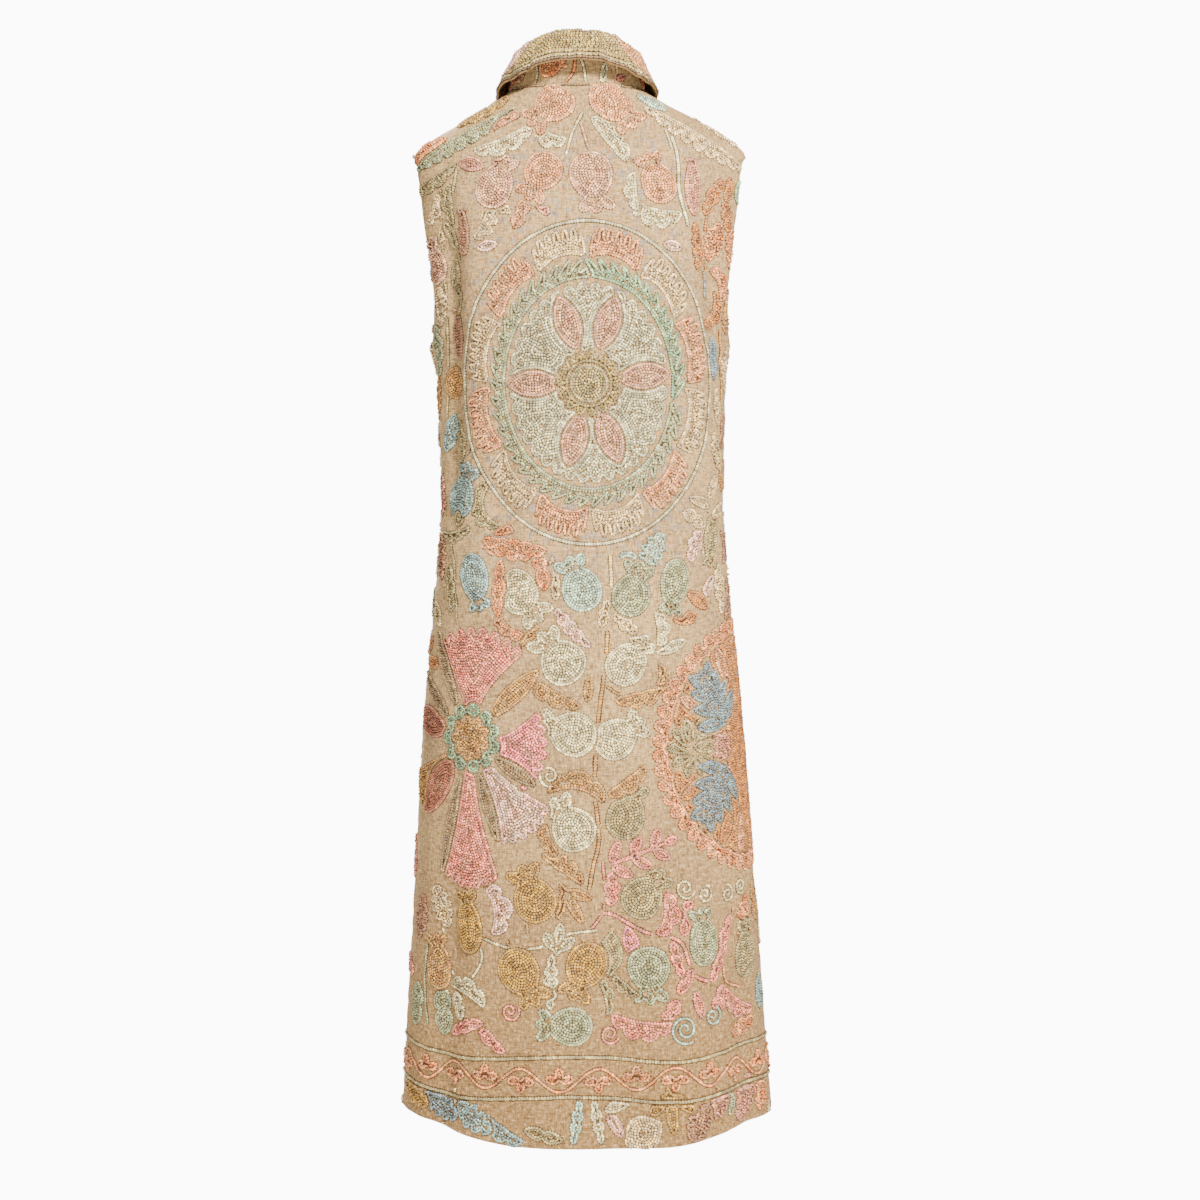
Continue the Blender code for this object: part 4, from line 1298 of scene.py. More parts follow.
# Stems and vines between them, each through some places in a row of its own width.
THIN, THICK = 0.0030, 0.0040
Stem = namedtuple("Stem", "dye width places")
BACK_STEMS = (
    Stem("cream", THIN, ((0.002, 0.040), (-0.007, 0.060), (-0.014, 0.090))),
    Stem("pink", THIN, ((-0.001, 0.050), (0.006, 0.070), (0.012, 0.088))),
    Stem("ivory", THICK, ((0.098, 0.052), (0.108, 0.088), (0.110, 0.130), (0.120, 0.166))),
    Stem("ivory", THIN, ((0.090, 0.046), (0.098, 0.066), (0.102, 0.080))),
    Stem("olive", THICK, ((-0.138, 0.100), (-0.145, 0.140), (-0.140, 0.200), (-0.146, 0.250))),
    Stem("olive", THIN, ((-0.160, 0.100), (-0.164, 0.200), (-0.166, 0.300), (-0.172, 0.372))),
    Stem("orange", THIN, ((0.148, 0.150), (0.146, 0.190), (0.150, 0.240))),
    Stem("blue", THIN, ((0.144, 0.210), (0.147, 0.240))),
    Stem("tan", THICK, ((0.176, 0.270), (0.178, 0.340), (0.174, 0.440))),
    Stem("oat", THICK, ((0.146, 0.440), (0.148, 0.470), (0.138, 0.520))),
    Stem("coral", THICK, ((-0.112, 0.510), (-0.098, 0.520), (-0.066, 0.526))),
    Stem("oat", THICK, ((0.030, 0.520), (0.031, 0.560), (0.027, 0.600))),
    Stem("olive", THIN, ((-0.158, 0.500), (-0.150, 0.540), (-0.146, 0.590))),
    Stem("tan", THICK, ((0.027, 0.600), (0.024, 0.640), (0.016, 0.700), (0.012, 0.760))),
    Stem("tan", THIN, ((0.022, 0.658), (0.036, 0.668), (0.048, 0.675))),
    Stem("tan", THICK, ((0.012, 0.776), (0.016, 0.820), (0.010, 0.850), (0.004, 0.880))),
    Stem("cream", THIN, ((-0.118, 0.925), (-0.090, 0.936), (-0.050, 0.936), (-0.020, 0.922), (0.012, 0.918))),
    Stem("cream", THIN, ((-0.118, 0.925), (-0.112, 0.950), (-0.124, 0.972))),
    Stem("cream", THIN, ((-0.170, 0.920), (-0.160, 0.960), (-0.146, 0.984))),
    Stem(
        "rosered",
        THICK,
        ((0.020, 0.900), (0.034, 0.904), (0.064, 0.920), (0.102, 0.932), (0.118, 0.968), (0.150, 0.980)),
    ),
    Stem("rosered", THIN, ((0.020, 0.846), (0.022, 0.880), (0.020, 0.900))),
    Stem("rosered", THIN, ((0.020, 0.900), (0.010, 0.912), (0.000, 0.922))),
    Stem("coral", THIN, ((0.176, 0.900), (0.166, 0.930), (0.160, 0.975), (0.190, 0.990))),
    Stem("cream", THIN, ((0.108, 0.868), (0.112, 0.880), (0.124, 0.886))),
    Stem("tan", THIN, ((-0.062, 0.905), (-0.060, 0.922))),
    Stem("tan", THIN, ((-0.083, 0.928), (-0.080, 0.944))),
    Stem("sage", THIN, ((-0.190, 0.930), (-0.196, 0.980), (-0.190, 1.030))),
    Stem("olive", THIN, ((-0.152, 0.420), (-0.128, 0.408), (-0.122, 0.392))),
)
BACK_SCROLLS = (
    ("cream", spiral(-0.036, 0.755, 0.012)),
    ("rosered", spiral(-0.080, 1.004, 0.011, start=2.0)),
    ("rosered", spiral(0.026, 1.028, 0.011, start=1.0)),
    ("cream", spiral(0.110, 0.876, 0.012, start=1.0)),
    ("cream", spiral(0.134, 0.884, 0.010, start=2.6)),
    ("cream", spiral(0.166, 0.886, 0.010, start=3.0)),
    ("cream", spiral(0.190, 0.880, 0.009, start=0.4)),
    ("mist", spiral(0.106, 1.024, 0.016, turns=2.2, start=4.0)),
    ("mist", spiral(0.142, 1.014, 0.011, start=2.5)),
    ("olive", spiral(-0.146, 0.478, 0.010, start=1.2)),
)


def fingered(inner, outer, spread, fingers, dip):
    """A crescent of rounded fingers about the origin, between two radii and with tapered horns."""
    angle = np.linspace(-1, 1, 14 * fingers + 1)
    taper = (1 - abs(angle) ** 6) ** 0.5
    bumps = abs(np.sin((angle + 1) / 2 * fingers * math.pi)) ** 0.3
    foot = inner - dip * abs(angle) ** 3
    rim = foot + (outer - foot) * (0.56 + 0.44 * bumps) * taper
    swing = np.exp(1j * np.radians(angle * spread))
    return np.concatenate((foot * swing, (rim * swing)[::-1]))


def toothed(radius, depth, teeth, slant=0.0, sharpness=0.7, start=0.0, end=360.0, hole=0.0):
    """A round outline with teeth or scallops, or an arc of it between two angles, round a hole."""
    angle = np.linspace(math.radians(start), math.radians(end), teeth * 8, endpoint=hole > 0)
    bumps = abs(np.sin((angle - angle[0]) / math.radians(end - start) * teeth * math.pi)) ** sharpness
    rim = (radius + depth * bumps) * np.exp(1j * (angle + slant * bumps))
    if hole:
        return np.concatenate((rim, hole * np.exp(1j * angle[::-1])))
    return rim


def fan(inner, outer, spread, lobes):
    """A flower's wide petal along the real axis, with scallops across its outer edge."""
    across = np.linspace(-1, 1, 12 * lobes + 1)
    depth = 1.1 * math.radians(spread) / lobes
    bumps = depth * (abs(np.sin((across + 1) / 2 * lobes * math.pi)) ** 0.5 - 1)
    rim = (outer * (1 + bumps) * (1 - 0.06 * across**2)) * np.exp(1j * np.radians(across * spread))
    width = outer * math.sin(math.radians(spread))
    share = np.linspace(0, 0.88, 9)
    flare = 0.16 + 0.84 * share**1.5
    sides = blend(inner, outer * math.cos(math.radians(spread)) * 0.88, share / 0.88)
    lower = sides - 1j * width * flare
    upper = sides + 1j * width * flare
    return np.concatenate((lower, rim, upper[::-1]))


def ring_shape(shape, middle, wide, tall):
    """Stretches a shape about the origin over an oval and moves it to its middle."""
    return middle + shape.real * wide + 1j * shape.imag * tall


# The great flower between the shoulder blades, an oval in units of its outer ring.
FLOWER = complex(0.008, -0.336)
FLOWER_SIZE = (0.141, 0.173)
OUTER_RING_ROW = 0.0036
CRESCENTS = 12
PETALS = ((8, 0.061), (72, 0.067), (109, 0.068), (180, 0.060), (255, 0.062), (291, 0.061))


def great_flower(chart, rows, centre):
    """The ringed flower, from its middle outwards and then its rings."""
    chart.fill(rows, [toothed(0.0205, 0.001, 12) + centre], "olive")
    chart.fill(rows, [toothed(0.0280, 0.0080, 15, sharpness=0.6) + centre], "straw")
    for degrees, away in PETALS:
        chart.fill(rows, [turned(leaf(0.062, 0.029, 0.72) + away, degrees) + centre], "pink")
    rings = (
        ("ivory", toothed(0.580, 0.045, 36, sharpness=0.5)),
        ("green", toothed(0.678, 0.100, 13, 0.13, 0.5, -8, 88, hole=0.642)),
        ("sage", toothed(0.678, 0.100, 34, -0.13, 0.5, 88, 352, hole=0.642)),
    )
    for dye, shape in rings:
        chart.fill(rows, [ring_shape(shape, centre, *FLOWER_SIZE)], dye)
    for i in range(CRESCENTS):
        crescent = turned(fingered(0.800, 0.972, 14.6, 7, 0.070), 360 / CRESCENTS * (i + 0.5))
        chart.fill(rows, [ring_shape(crescent, centre, *FLOWER_SIZE)], ("peach", "oat")[i % 2])
    angle = np.linspace(0, 2 * math.pi, 700)
    outer_ring = ring_shape(np.exp(1j * angle), centre, *FLOWER_SIZE)
    chart.line(rows, outer_ring, "ivory", row=OUTER_RING_ROW)


# The cut flower at the left side seam: petals about its middle.
LEFT_FLOWER = complex(-0.126, -0.717)
Fan = namedtuple("Fan", "turn inner outer spread lobes dye")
LEFT_FANS = (
    Fan(86, 0.030, 0.120, 31, 8, "rosered"),
    Fan(-11, 0.030, 0.090, 32, 7, "hot"),
    Fan(-56, 0.031, 0.124, 18, 6, "blush"),
    Fan(-91, 0.032, 0.162, 14, 7, "rosered"),
    Fan(212, 0.033, 0.125, 12, 4, "tan"),
)
LEFT_SLIPS = (
    (43, 0.032, 0.078, 0.022, "tan"),
    (-33, 0.034, 0.058, 0.016, "khaki"),
    (-73, 0.034, 0.084, 0.014, "khaki"),
    (-106, 0.034, 0.126, 0.014, "khaki"),
    (-132, 0.032, 0.082, 0.038, "terracotta"),
    (116, 0.034, 0.100, 0.017, "khaki"),
    (142, 0.032, 0.084, 0.016, "khaki"),
    (168, 0.032, 0.080, 0.034, "terracotta"),
)


def cut_flower(chart, rows, centre):
    """A flower of wide petals, with slips between them."""
    chart.fill(rows, [toothed(0.017, 0.008, 9, sharpness=0.5) + centre], "tan")
    chart.fill(rows, [toothed(0.029, 0.009, 11, sharpness=0.5) + centre], "green")
    for turn, foot, length, width, dye in LEFT_SLIPS:
        chart.fill(rows, [turned(leaf(length, width, 0.6) + foot + length / 2, turn) + centre], dye)
    for petal in LEFT_FANS:
        shape = turned(fan(petal.inner, petal.outer, petal.spread, petal.lobes), petal.turn)
        chart.fill(rows, [shape + centre], petal.dye)


# The great disc at the right side seam.
DISC = complex(0.213, -0.727)
DISC_RADIUS = 0.136
DISC_TONGUES = 20
DISC_LEAVES = ((140, 122), (220, 238), (40, 58), (-40, -58))  # where round the middle, and the tip's turn
DISC_LEAF_AWAY = 0.080
DISC_BUD_AWAY = 0.090


def great_disc(chart, rows, centre):
    """A round flower: jagged leaves about a pale middle, in a wide scalloped ring."""
    chart.fill(rows, [toothed(0.012, 0.004, 7) + centre - 0.048], "rose")
    for place, turn in DISC_LEAVES:
        away = turned(DISC_LEAF_AWAY, place)
        jagged = [turned(shape, turn) + away + centre for shape in maple(0.076, 0.060)]
        chart.fill(rows, jagged, "slate")
    for i in range(10):
        petal = turned(leaf(0.036, 0.015, 0.6) + 0.016, 36 * i) + centre
        for aside in (-DISC_BUD_AWAY, DISC_BUD_AWAY):
            chart.fill(rows, [petal + aside], "olive")
    for i in range(DISC_TONGUES):
        tongue = turned(leaf(0.046, 0.017, 0.6) + 0.098, 360 / DISC_TONGUES * (i + 0.5)) + centre
        chart.fill(rows, [tongue], ("peach", "orange")[i % 2])
    chart.fill(rows, [toothed(DISC_RADIUS - 0.020, 0.004, 26, sharpness=0.5) + centre], "orange")
    chart.fill(rows, [toothed(DISC_RADIUS - 0.006, 0.0095, 52, sharpness=0.5) + centre], "coral")


# The border above the hem: two lines with a waved vine between them, and a small trefoil in each wave.
BORDER_LINES = (-1.054, -1.096)
BORDER_ROW = 0.0038
BORDER_WANDER = 0.004  # of the two lines up and down, as they were drawn by hand
VINE_ROW = 0.0031
WAVE = 0.082
WAVE_HEIGHT = 0.0115


def border(chart, rows, low, high, shift):
    """Works the border from one distance round to another."""
    around = np.arange(low, high, 0.001)
    for height in BORDER_LINES:
        wander = BORDER_WANDER * np.cos(around * 26 + shift)
        chart.line(rows, around + 1j * (height + wander), "olive", row=BORDER_ROW)
    middle = sum(BORDER_LINES) / 2
    wave = around + 1j * (middle + WAVE_HEIGHT * np.sin(around / WAVE * 2 * math.pi + shift))
    for k in range(int(low / WAVE * 2) - 1, int(high / WAVE * 2) + 2):
        crest = (k + 0.5) * math.pi
        spot = (crest - shift) / (2 * math.pi) * WAVE
        side = -1 if k % 2 else 1
        foot = complex(spot, middle + side * WAVE_HEIGHT * 0.1)
        petal = leaf(0.0165, 0.0108, 0.4) + 0.0082
        trefoil = [turned(petal, degrees - 90 * side) + foot for degrees in (0, -74, 74)]
        chart.fill(rows, trefoil, "coral")
    chart.line(rows, wave, "coral", row=VINE_ROW)


SMALL = 0.056  # the length below which a motif may fill a gap
OVERLAP = 0.08  # the share of its outline that may then lie on other work
OTHER_DYES = {
    "peach": "pink",
    "pink": "peach",
    "rose": "coral",
    "mustard": "olive",
    "olive": "mustard",
    "blue": "cream",
    "cream": "mist",
    "mist": "blue",
    "rosered": "coral",
    "coral": "rosered",
    "tan": "sage",
    "sage": "tan",
}


def work(chart, rows, motifs, spare=1.0):
    """Works the motifs for which no more than this share of their outline lies on other work."""
    for motif in motifs:
        spot = complex(motif.across, -motif.drop)
        shapes = [turned(shape, motif.turn, spot) for shape in motif.form(motif.length, motif.width)]
        if (chart.near(chart.worked, np.concatenate(shapes)) > -0.001).mean() <= spare:
            chart.fill(rows, shapes, motif.dye)


def fill_gaps(chart, rows, motifs, shifts):
    """Works motifs again wherever the cloth is still bare, moved across and down by each shift in turn."""
    for across, drop in shifts:
        moved = [motif._replace(across=motif.across + across, drop=motif.drop + drop) for motif in motifs]
        work(chart, rows, moved, spare=OVERLAP)


def work_stems(chart, rows, stems, side=1):
    """Works the stems, on the garment's other side if side is -1."""
    for stem in stems:
        places = [(side * across, drop) for across, drop in stem.places]
        chart.line(rows, through(*places), stem.dye, stem.width)


def mirrored(motif):
    """A motif as it lies on the garment's other side, in other dyes."""
    dye = OTHER_DYES.get(motif.dye, motif.dye)
    return motif._replace(across=-motif.across, turn=180 - motif.turn, dye=dye)


def chain_stitched(name):
    """Wool worked in chain stitch: looped links in the colour that each was dyed, with painted shade in eyes
    and gaps.
    """
    wool = Finish(name, roughness=0.9)
    dye = wool.node("Attribute", {"attribute_name": "dye"})
    place = wool.node("UVMap", {"uv_map": "link"})
    across = wool.node("SeparateXYZ", None, {"Vector": place}, 0) - 0.5
    along = (wool.node("SeparateXYZ", None, {"Vector": place}, 1) + 0.5).fraction() - 0.5
    spot = across * across
    eye = (spot * 60.0 + along * along * 22.0).within(1.20, 0.50)
    outline = wool.node("Attribute", {"attribute_name": "outline"}, None, 2)
    between = (spot * 5.0 + along * along * (1 - outline * 0.35) * 4.6).within(0.46, 0.76)
    grain = wool.noise(wool.node("TexCoord", None, None, 3), 1100.0, 2.0, 0.7)
    relief = (1 - eye) * (1 - between) + grain * 0.35
    light = wool.mix(grain.within(0.40, 0.75) * 0.35, dye, dyed(246, 238, 224))
    # Painted shade: the eye of each link, the gaps between links and rows, and the skirt beside a shape's
    # outer row take this dark brown.
    shadow = wool.mix(0.95, dye, dyed(40, 24, 14))
    shaded = wool.mix(eye * 0.75, light, shadow)
    shaded = wool.mix(between * 0.98, shaded, shadow)
    wool.shader.inputs["Specular IOR Level"].default_value = 0.12
    return wool.finish(shaded, relief, 0.8, 0.0007)


SEAM_ROW = 0.0014
SEAM_INSET = 0.0022  # of that row from the neck and shoulder seams

chain_stitch = chain_stitched("chain_stitch")
back_chart = Chart(back_outline)
flower_rows, fruit_rows, hem_rows = Rows(), Rows(), Rows()
great_flower(back_chart, flower_rows, FLOWER)
cut_flower(back_chart, flower_rows, LEFT_FLOWER)
great_disc(back_chart, flower_rows, DISC)
for dye, path in BACK_SCROLLS:
    back_chart.line(fruit_rows, path, dye)
border(back_chart, hem_rows, back_across.min(), back_across.max(), 0.6)
work(back_chart, fruit_rows, BACK_MOTIFS)
work_stems(back_chart, fruit_rows, BACK_STEMS)
seam = back_across[-1, 3:-3] + 1j * (back_up[-1, 3:-3] - SEAM_INSET)
back_chart.line(hem_rows, seam, "khaki", row=SEAM_ROW)
small = [mirrored(motif) for motif in BACK_MOTIFS if motif.length < SMALL and motif.form != pomegranate]
shifts = ((0, 0), (0.04, 0.07), (-0.05, -0.06), (0.02, -0.11), (0.09, 0.03), (-0.08, 0.05), (-0.03, 0.14))
fill_gaps(back_chart, fruit_rows, small, shifts)
for name, rows in (("back_flowers", flower_rows), ("back_fruit", fruit_rows), ("back_border", hem_rows)):
    rows.made(name, body, chain_stitch)

# ---------------------------------------------------------------- fronts: the cloth
# Two fronts of the same cotton, cut in line with the back and sewn to it at the shoulders and sides. Their
# edges are turned in, hang open from the throat down, and lie a little apart.

THROAT = -0.078
NECK_HALF_WIDTH = 0.077
NECK_ROUNDNESS = 1.6
ARMHOLE_FRONT = 0.056
OPEN_AT_NECK = 0.007
OPEN_AT_HEM = 0.024
FRONT_COLUMNS = 44
FRONT_REACH = 0.315


def front_at(height):
    """The distance round from the centre back to the centre front."""
    return np.interp(height, form_heights, round_to_front)


def neck_place(shares):
    """The front neck seam from the shoulder, share 0, to the front edge, share 1.

    It gives distances round from the centre front, and heights.
    """
    turn = shares * math.pi / 2
    heights = THROAT * np.sin(turn) ** NECK_ROUNDNESS
    quarter = RING_STEPS // 2
    beside = []
    for height, x in zip(heights, blend(OPEN_AT_NECK, NECK_HALF_WIDTH, np.cos(turn))):
        arcs, xs, _ = half_ring(height)
        beside.append(np.interp(x, xs[quarter:][::-1], arcs[-1] - arcs[quarter:][::-1]))
    return np.array(beside), heights


def front_place(shares, heights, side):
    """Distances from the centre front, to the wearer's left, and heights of a front's rows.

    Share 0 is the side or armhole edge and 1 the front edge. Side is 1 for the right front and -1 for the
    left one.
    """
    row = heights[:, None]
    drop = hem_dip(1 - shares) + HEM_TILT * side * (1 - shares)
    below = row - hang(row) * drop
    opening = blend(OPEN_AT_NECK, OPEN_AT_HEM, ease(row / HEM))
    skirt = blend(front_at(below) - side_at(below) - SEAM_GAP / 2, opening, shares)
    lift = raised(row)
    neck, neck_height = neck_place(shares)
    shoulder_foot = neck_place(np.zeros(1))[0]
    above = blend(UNDERARM, neck_height, lift)
    underarm_width = front_at(UNDERARM) - side_at(UNDERARM) - SEAM_GAP / 2
    opening_there = blend(OPEN_AT_NECK, OPEN_AT_HEM, ease(UNDERARM / HEM))
    foot = blend(underarm_width, opening_there, shares)
    edge = front_at(row) - armhole_round(heights, ARMHOLE_FRONT)[:, None] - SEAM_GAP / 2
    bend = (edge - blend(underarm_width, shoulder_foot, lift)) * (1 - shares) ** 2
    low = row <= UNDERARM
    beside = np.where(low, skirt, blend(foot, neck, lift) + bend)
    return -side * beside, np.where(low, below, above)


front_sideways = np.arange(-FRONT_REACH, FRONT_REACH + FORM_STEP_ROUND, FORM_STEP_ROUND)[None, :]
front_round = np.where(front_sideways > 0, -1, 1) * (front_at(form_heights[:, None]) - abs(front_sideways))
front_body = Form(
    body.at(front_round, np.broadcast_to(form_heights[:, None], front_round.shape)),
    front_sideways[0],
    form_heights,
)
plain_linen = slubbed("slubbed_cotton_fronts", ground_tints, mottled=False)
front_outlines = {}
for side, name in ((1, "front_right"), (-1, "front_left")):
    sideways, upwards = front_place(np.linspace(0, 1, FRONT_COLUMNS + 1), row_heights, side)
    front_outlines[side] = border_of(sideways, upwards)
    cloth = cloth_wall(name + "_cloth", front_body, sideways, upwards, CLOTH, plain_linen, linen_inside)
    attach(cloth, "root")
    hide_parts(name)
    flat_area(front_outlines[side])

# ---------------------------------------------------------------- fronts: the embroidery
# The same stitches and shapes. A great flower and a cut flower are each parted by the front opening, and the
# flowers that the side seams cut go on across them.

# The shapes on the left front, with the distance from the centre front first. The right front mirrors them.
FRONT_MOTIFS = [Motif(*row) for row in (
    # beside the neck and the armhole
    (pomegranate, 0.052, 0.128, 100, 0.048, 0.042, "peach"),
    (pomegranate, 0.100, 0.096, 70, 0.046, 0.041, "pink"),
    (bud, 0.070, 0.076, 20, 0.050, 0.016, "sage"),
    (bud, 0.084, 0.040, 330, 0.052, 0.020, "mustard"),
    (lobed, 0.118, 0.050, 325, 0.090, 0.026, "oat"),
    (trident, 0.036, 0.098, 120, 0.034, 0.028, "cream"),
    (bud, 0.134, 0.120, 75, 0.056, 0.019, "rose"),
    (pomegranate, 0.104, 0.152, 250, 0.044, 0.040, "peach"),
    (trident, 0.070, 0.170, 60, 0.034, 0.030, "oat"),
    (spray, 0.128, 0.196, 95, 0.090, 0.040, "olive"),
    (comb, 0.036, 0.176, 350, 0.050, 0.026, "cream"),
    # beside the great flower
    (bud, 0.140, 0.262, 100, 0.058, 0.020, "rosewood"),
    (pomegranate, 0.160, 0.310, 85, 0.046, 0.040, "blue"),
    (spray, 0.184, 0.360, 85, 0.096, 0.044, "orange"),
    (bud, 0.150, 0.360, 110, 0.048, 0.018, "coral"),
    (lobed, 0.146, 0.430, 75, 0.076, 0.024, "sage"),
    (pomegranate, 0.188, 0.450, 95, 0.048, 0.042, "olive"),
    (bud, 0.206, 0.402, 80, 0.040, 0.018, "mustard"),
    # between the two flowers
    (trident, 0.112, 0.512, 40, 0.040, 0.032, "cream"),
    (pomegranate, 0.040, 0.562, 100, 0.050, 0.044, "mist"),
    (pomegranate, 0.094, 0.572, 75, 0.048, 0.044, "cream"),
    (pomegranate, 0.152, 0.536, 105, 0.050, 0.042, "blue"),
    (spray, 0.196, 0.536, 85, 0.090, 0.042, "rosered"),
    (comb, 0.066, 0.618, 15, 0.056, 0.028, "tan"),
    (bud, 0.030, 0.620, 290, 0.046, 0.014, "coral"),
    (pomegranate, 0.126, 0.622, 60, 0.046, 0.042, "sage"),
    (bud, 0.178, 0.604, 40, 0.048, 0.018, "orange"),
    (trident, 0.098, 0.652, 120, 0.036, 0.030, "cream"),
    # beside the fan flower
    (pomegranate, 0.160, 0.690, 95, 0.050, 0.044, "cream"),
    (spray, 0.196, 0.748, 90, 0.100, 0.044, "sage"),
    (pomegranate, 0.158, 0.776, 80, 0.050, 0.044, "olive"),
    (comb, 0.210, 0.672, 70, 0.056, 0.030, "tan"),
    (pomegranate, 0.222, 0.828, 100, 0.048, 0.044, "mustard"),
    (lobed, 0.172, 0.852, 60, 0.070, 0.024, "rose"),
    (pomegranate, 0.140, 0.910, 80, 0.050, 0.046, "mustard"),
    # lower field
    (pomegranate, 0.052, 0.990, 95, 0.050, 0.046, "olive"),
    (spray, 0.098, 0.966, 100, 0.094, 0.044, "rosered"),
    (bud, 0.054, 0.942, 40, 0.044, 0.016, "coral"),
    (pomegranate, 0.146, 0.990, 265, 0.050, 0.046, "sage"),
    (comb, 0.196, 0.916, 60, 0.060, 0.032, "cream"),
    (pomegranate, 0.198, 0.982, 90, 0.050, 0.046, "tan"),
    (trident, 0.240, 0.928, 80, 0.044, 0.036, "rosered"),
    (pomegranate, 0.248, 0.990, 100, 0.048, 0.042, "blue"),
    (bud, 0.100, 1.026, 10, 0.056, 0.016, "rosered"),
    (bud, 0.174, 1.030, 350, 0.054, 0.016, "cream"),
    (bud, 0.226, 1.034, 10, 0.046, 0.015, "coral"),
    # below the border
    (lobed, 0.060, 1.120, 355, 0.064, 0.028, "mist"),
    (comb, 0.118, 1.120, 20, 0.056, 0.032, "oat"),
    (lobed, 0.172, 1.116, 5, 0.060, 0.028, "rose"),
    (bud, 0.222, 1.112, 350, 0.050, 0.024, "mustard"),
    (comb, 0.262, 1.108, 40, 0.044, 0.026, "cream"),
)]
FRONT_STEMS = (
    Stem("cream", THIN, ((0.018, 0.096), (0.030, 0.140), (0.050, 0.190))),
    Stem("olive", THIN, ((0.140, 0.160), (0.150, 0.230), (0.160, 0.286))),
    Stem("orange", THIN, ((0.172, 0.300), (0.168, 0.380), (0.178, 0.470))),
    Stem("tan", THICK, ((0.064, 0.530), (0.070, 0.580), (0.066, 0.660))),
    Stem("coral", THIN, ((0.180, 0.500), (0.170, 0.560), (0.160, 0.650))),
    Stem("sage", THIN, ((0.190, 0.690), (0.184, 0.780), (0.194, 0.880))),
    Stem("rosered", THICK, ((0.030, 0.950), (0.070, 0.960), (0.100, 0.990), (0.128, 1.020), (0.160, 1.016))),
    Stem("cream", THIN, ((0.170, 0.930), (0.200, 0.950), (0.226, 0.958), (0.262, 0.950))),
)
FRONT_FLOWER = complex(0, -0.360)
FRONT_FANS = complex(0, -0.800)

for side, name in ((1, "front_right"), (-1, "front_left")):
    chart = Chart(front_outlines[side])
    flower_rows, fruit_rows = Rows(), Rows()
    great_flower(chart, flower_rows, FRONT_FLOWER)
    cut_flower(chart, flower_rows, FRONT_FANS)
    if side > 0:
        great_disc(chart, flower_rows, DISC - front_at(DISC.imag))
    else:
        cut_flower(chart, flower_rows, LEFT_FLOWER + front_at(LEFT_FLOWER.imag))
    border(chart, fruit_rows, chart.spots.real.min(), chart.spots.real.max(), 2.0 + side)
    work(chart, fruit_rows, FRONT_MOTIFS if side < 0 else map(mirrored, FRONT_MOTIFS))
    work_stems(chart, fruit_rows, FRONT_STEMS, -side)
    here = [motif if motif.across * side < 0 else mirrored(motif) for motif in BACK_MOTIFS]
    shifts = ((0, 0), (0.05, 0.11), (0.09, -0.13), (-0.03, 0.17), (0.07, 0.22), (0.02, -0.06), (0.12, 0.04))
    fill_gaps(chart, fruit_rows, here, [(-side * across, drop) for across, drop in shifts])
    for group, rows in (("flowers", flower_rows), ("fruit", fruit_rows)):
        rows.made(name + "_" + group, front_body, chain_stitch)

# ---------------------------------------------------------------- collar: the cloth
# The same cloth cut double and bagged out at its outer edge, then set on the neck seam. It stands, rolls
# over and falls, short behind and longer to its points in front.

COLLAR_CLOTH = 0.0030
FOLD_RADIUS = 0.0042
COLLAR_STEP = 0.0028
STAND_ROWS = 12
TURN_ROWS = 8
FALL_ROWS = 14
COLLAR_COCKLE = 0.0005
COLLAR_WAVE = 0.021

# Its section from the centre back, around 0, to the front edges, around 1: its fold line and the outer edge
# of its fall, each out from the neck seam and up from it, and how far that edge swings to the shoulder.
CollarSection = namedtuple("CollarSection", "around fold_out fold_up edge_out edge_up swing")
COLLAR = (
    CollarSection(0.00, 0.0010, 0.0575, 0.0195, 0.0220, 0.000),
    CollarSection(0.08, 0.0008, 0.0572, 0.0194, 0.0215, 0.000),
    CollarSection(0.25, -0.0020, 0.0475, 0.0175, 0.0095, 0.000),
    CollarSection(0.48, -0.0075, 0.0350, 0.0145, -0.0015, 0.000),
    CollarSection(0.62, -0.0050, 0.0300, 0.0155, -0.0060, 0.002),
    CollarSection(0.80, 0.0000, 0.0260, 0.0165, -0.0190, 0.008),
    CollarSection(1.00, 0.0030, 0.0230, 0.0190, -0.0400, 0.020),
)


def neck_line():
    """Points of the neck seam from the left front edge to the right one, an even step apart.

    It gives their distances from the centre back too, the outward normals, and how far round each lies.
    """
    front, back, top = np.linspace(0, 1, 41)[1:], np.linspace(-1, 1, 81), np.zeros(1)
    stretches = (
        (front_body, *front_place(front[::-1], top, -1), 0.5 + front[::-1] / 2),
        (body, *back_place(back, top), abs(back) / 2),
        (front_body, *front_place(front, top, 1), 0.5 + front / 2),
    )
    points = np.concatenate([form.at(across, up)[0] for form, across, up, _ in stretches])
    ends = np.concatenate([form.at(across, up, 1.0)[0] for form, across, up, _ in stretches])
    around = np.concatenate([stretch[3] for stretch in stretches])
    run = np.concatenate(([0], np.cumsum(np.linalg.norm(np.diff(points, axis=0), axis=1))))
    run -= run[-1] / 2
    count = int(round(2 * run[-1] / COLLAR_STEP))
    even = np.linspace(run[0], run[-1], count + 1)
    table = np.concatenate((points, ends - points, around[:, None]), axis=1)
    table = np.stack([np.interp(even, run, column) for column in table.T], axis=1)
    return even, table[:, :3], unit(table[:, 3:6]), table[:, 6]


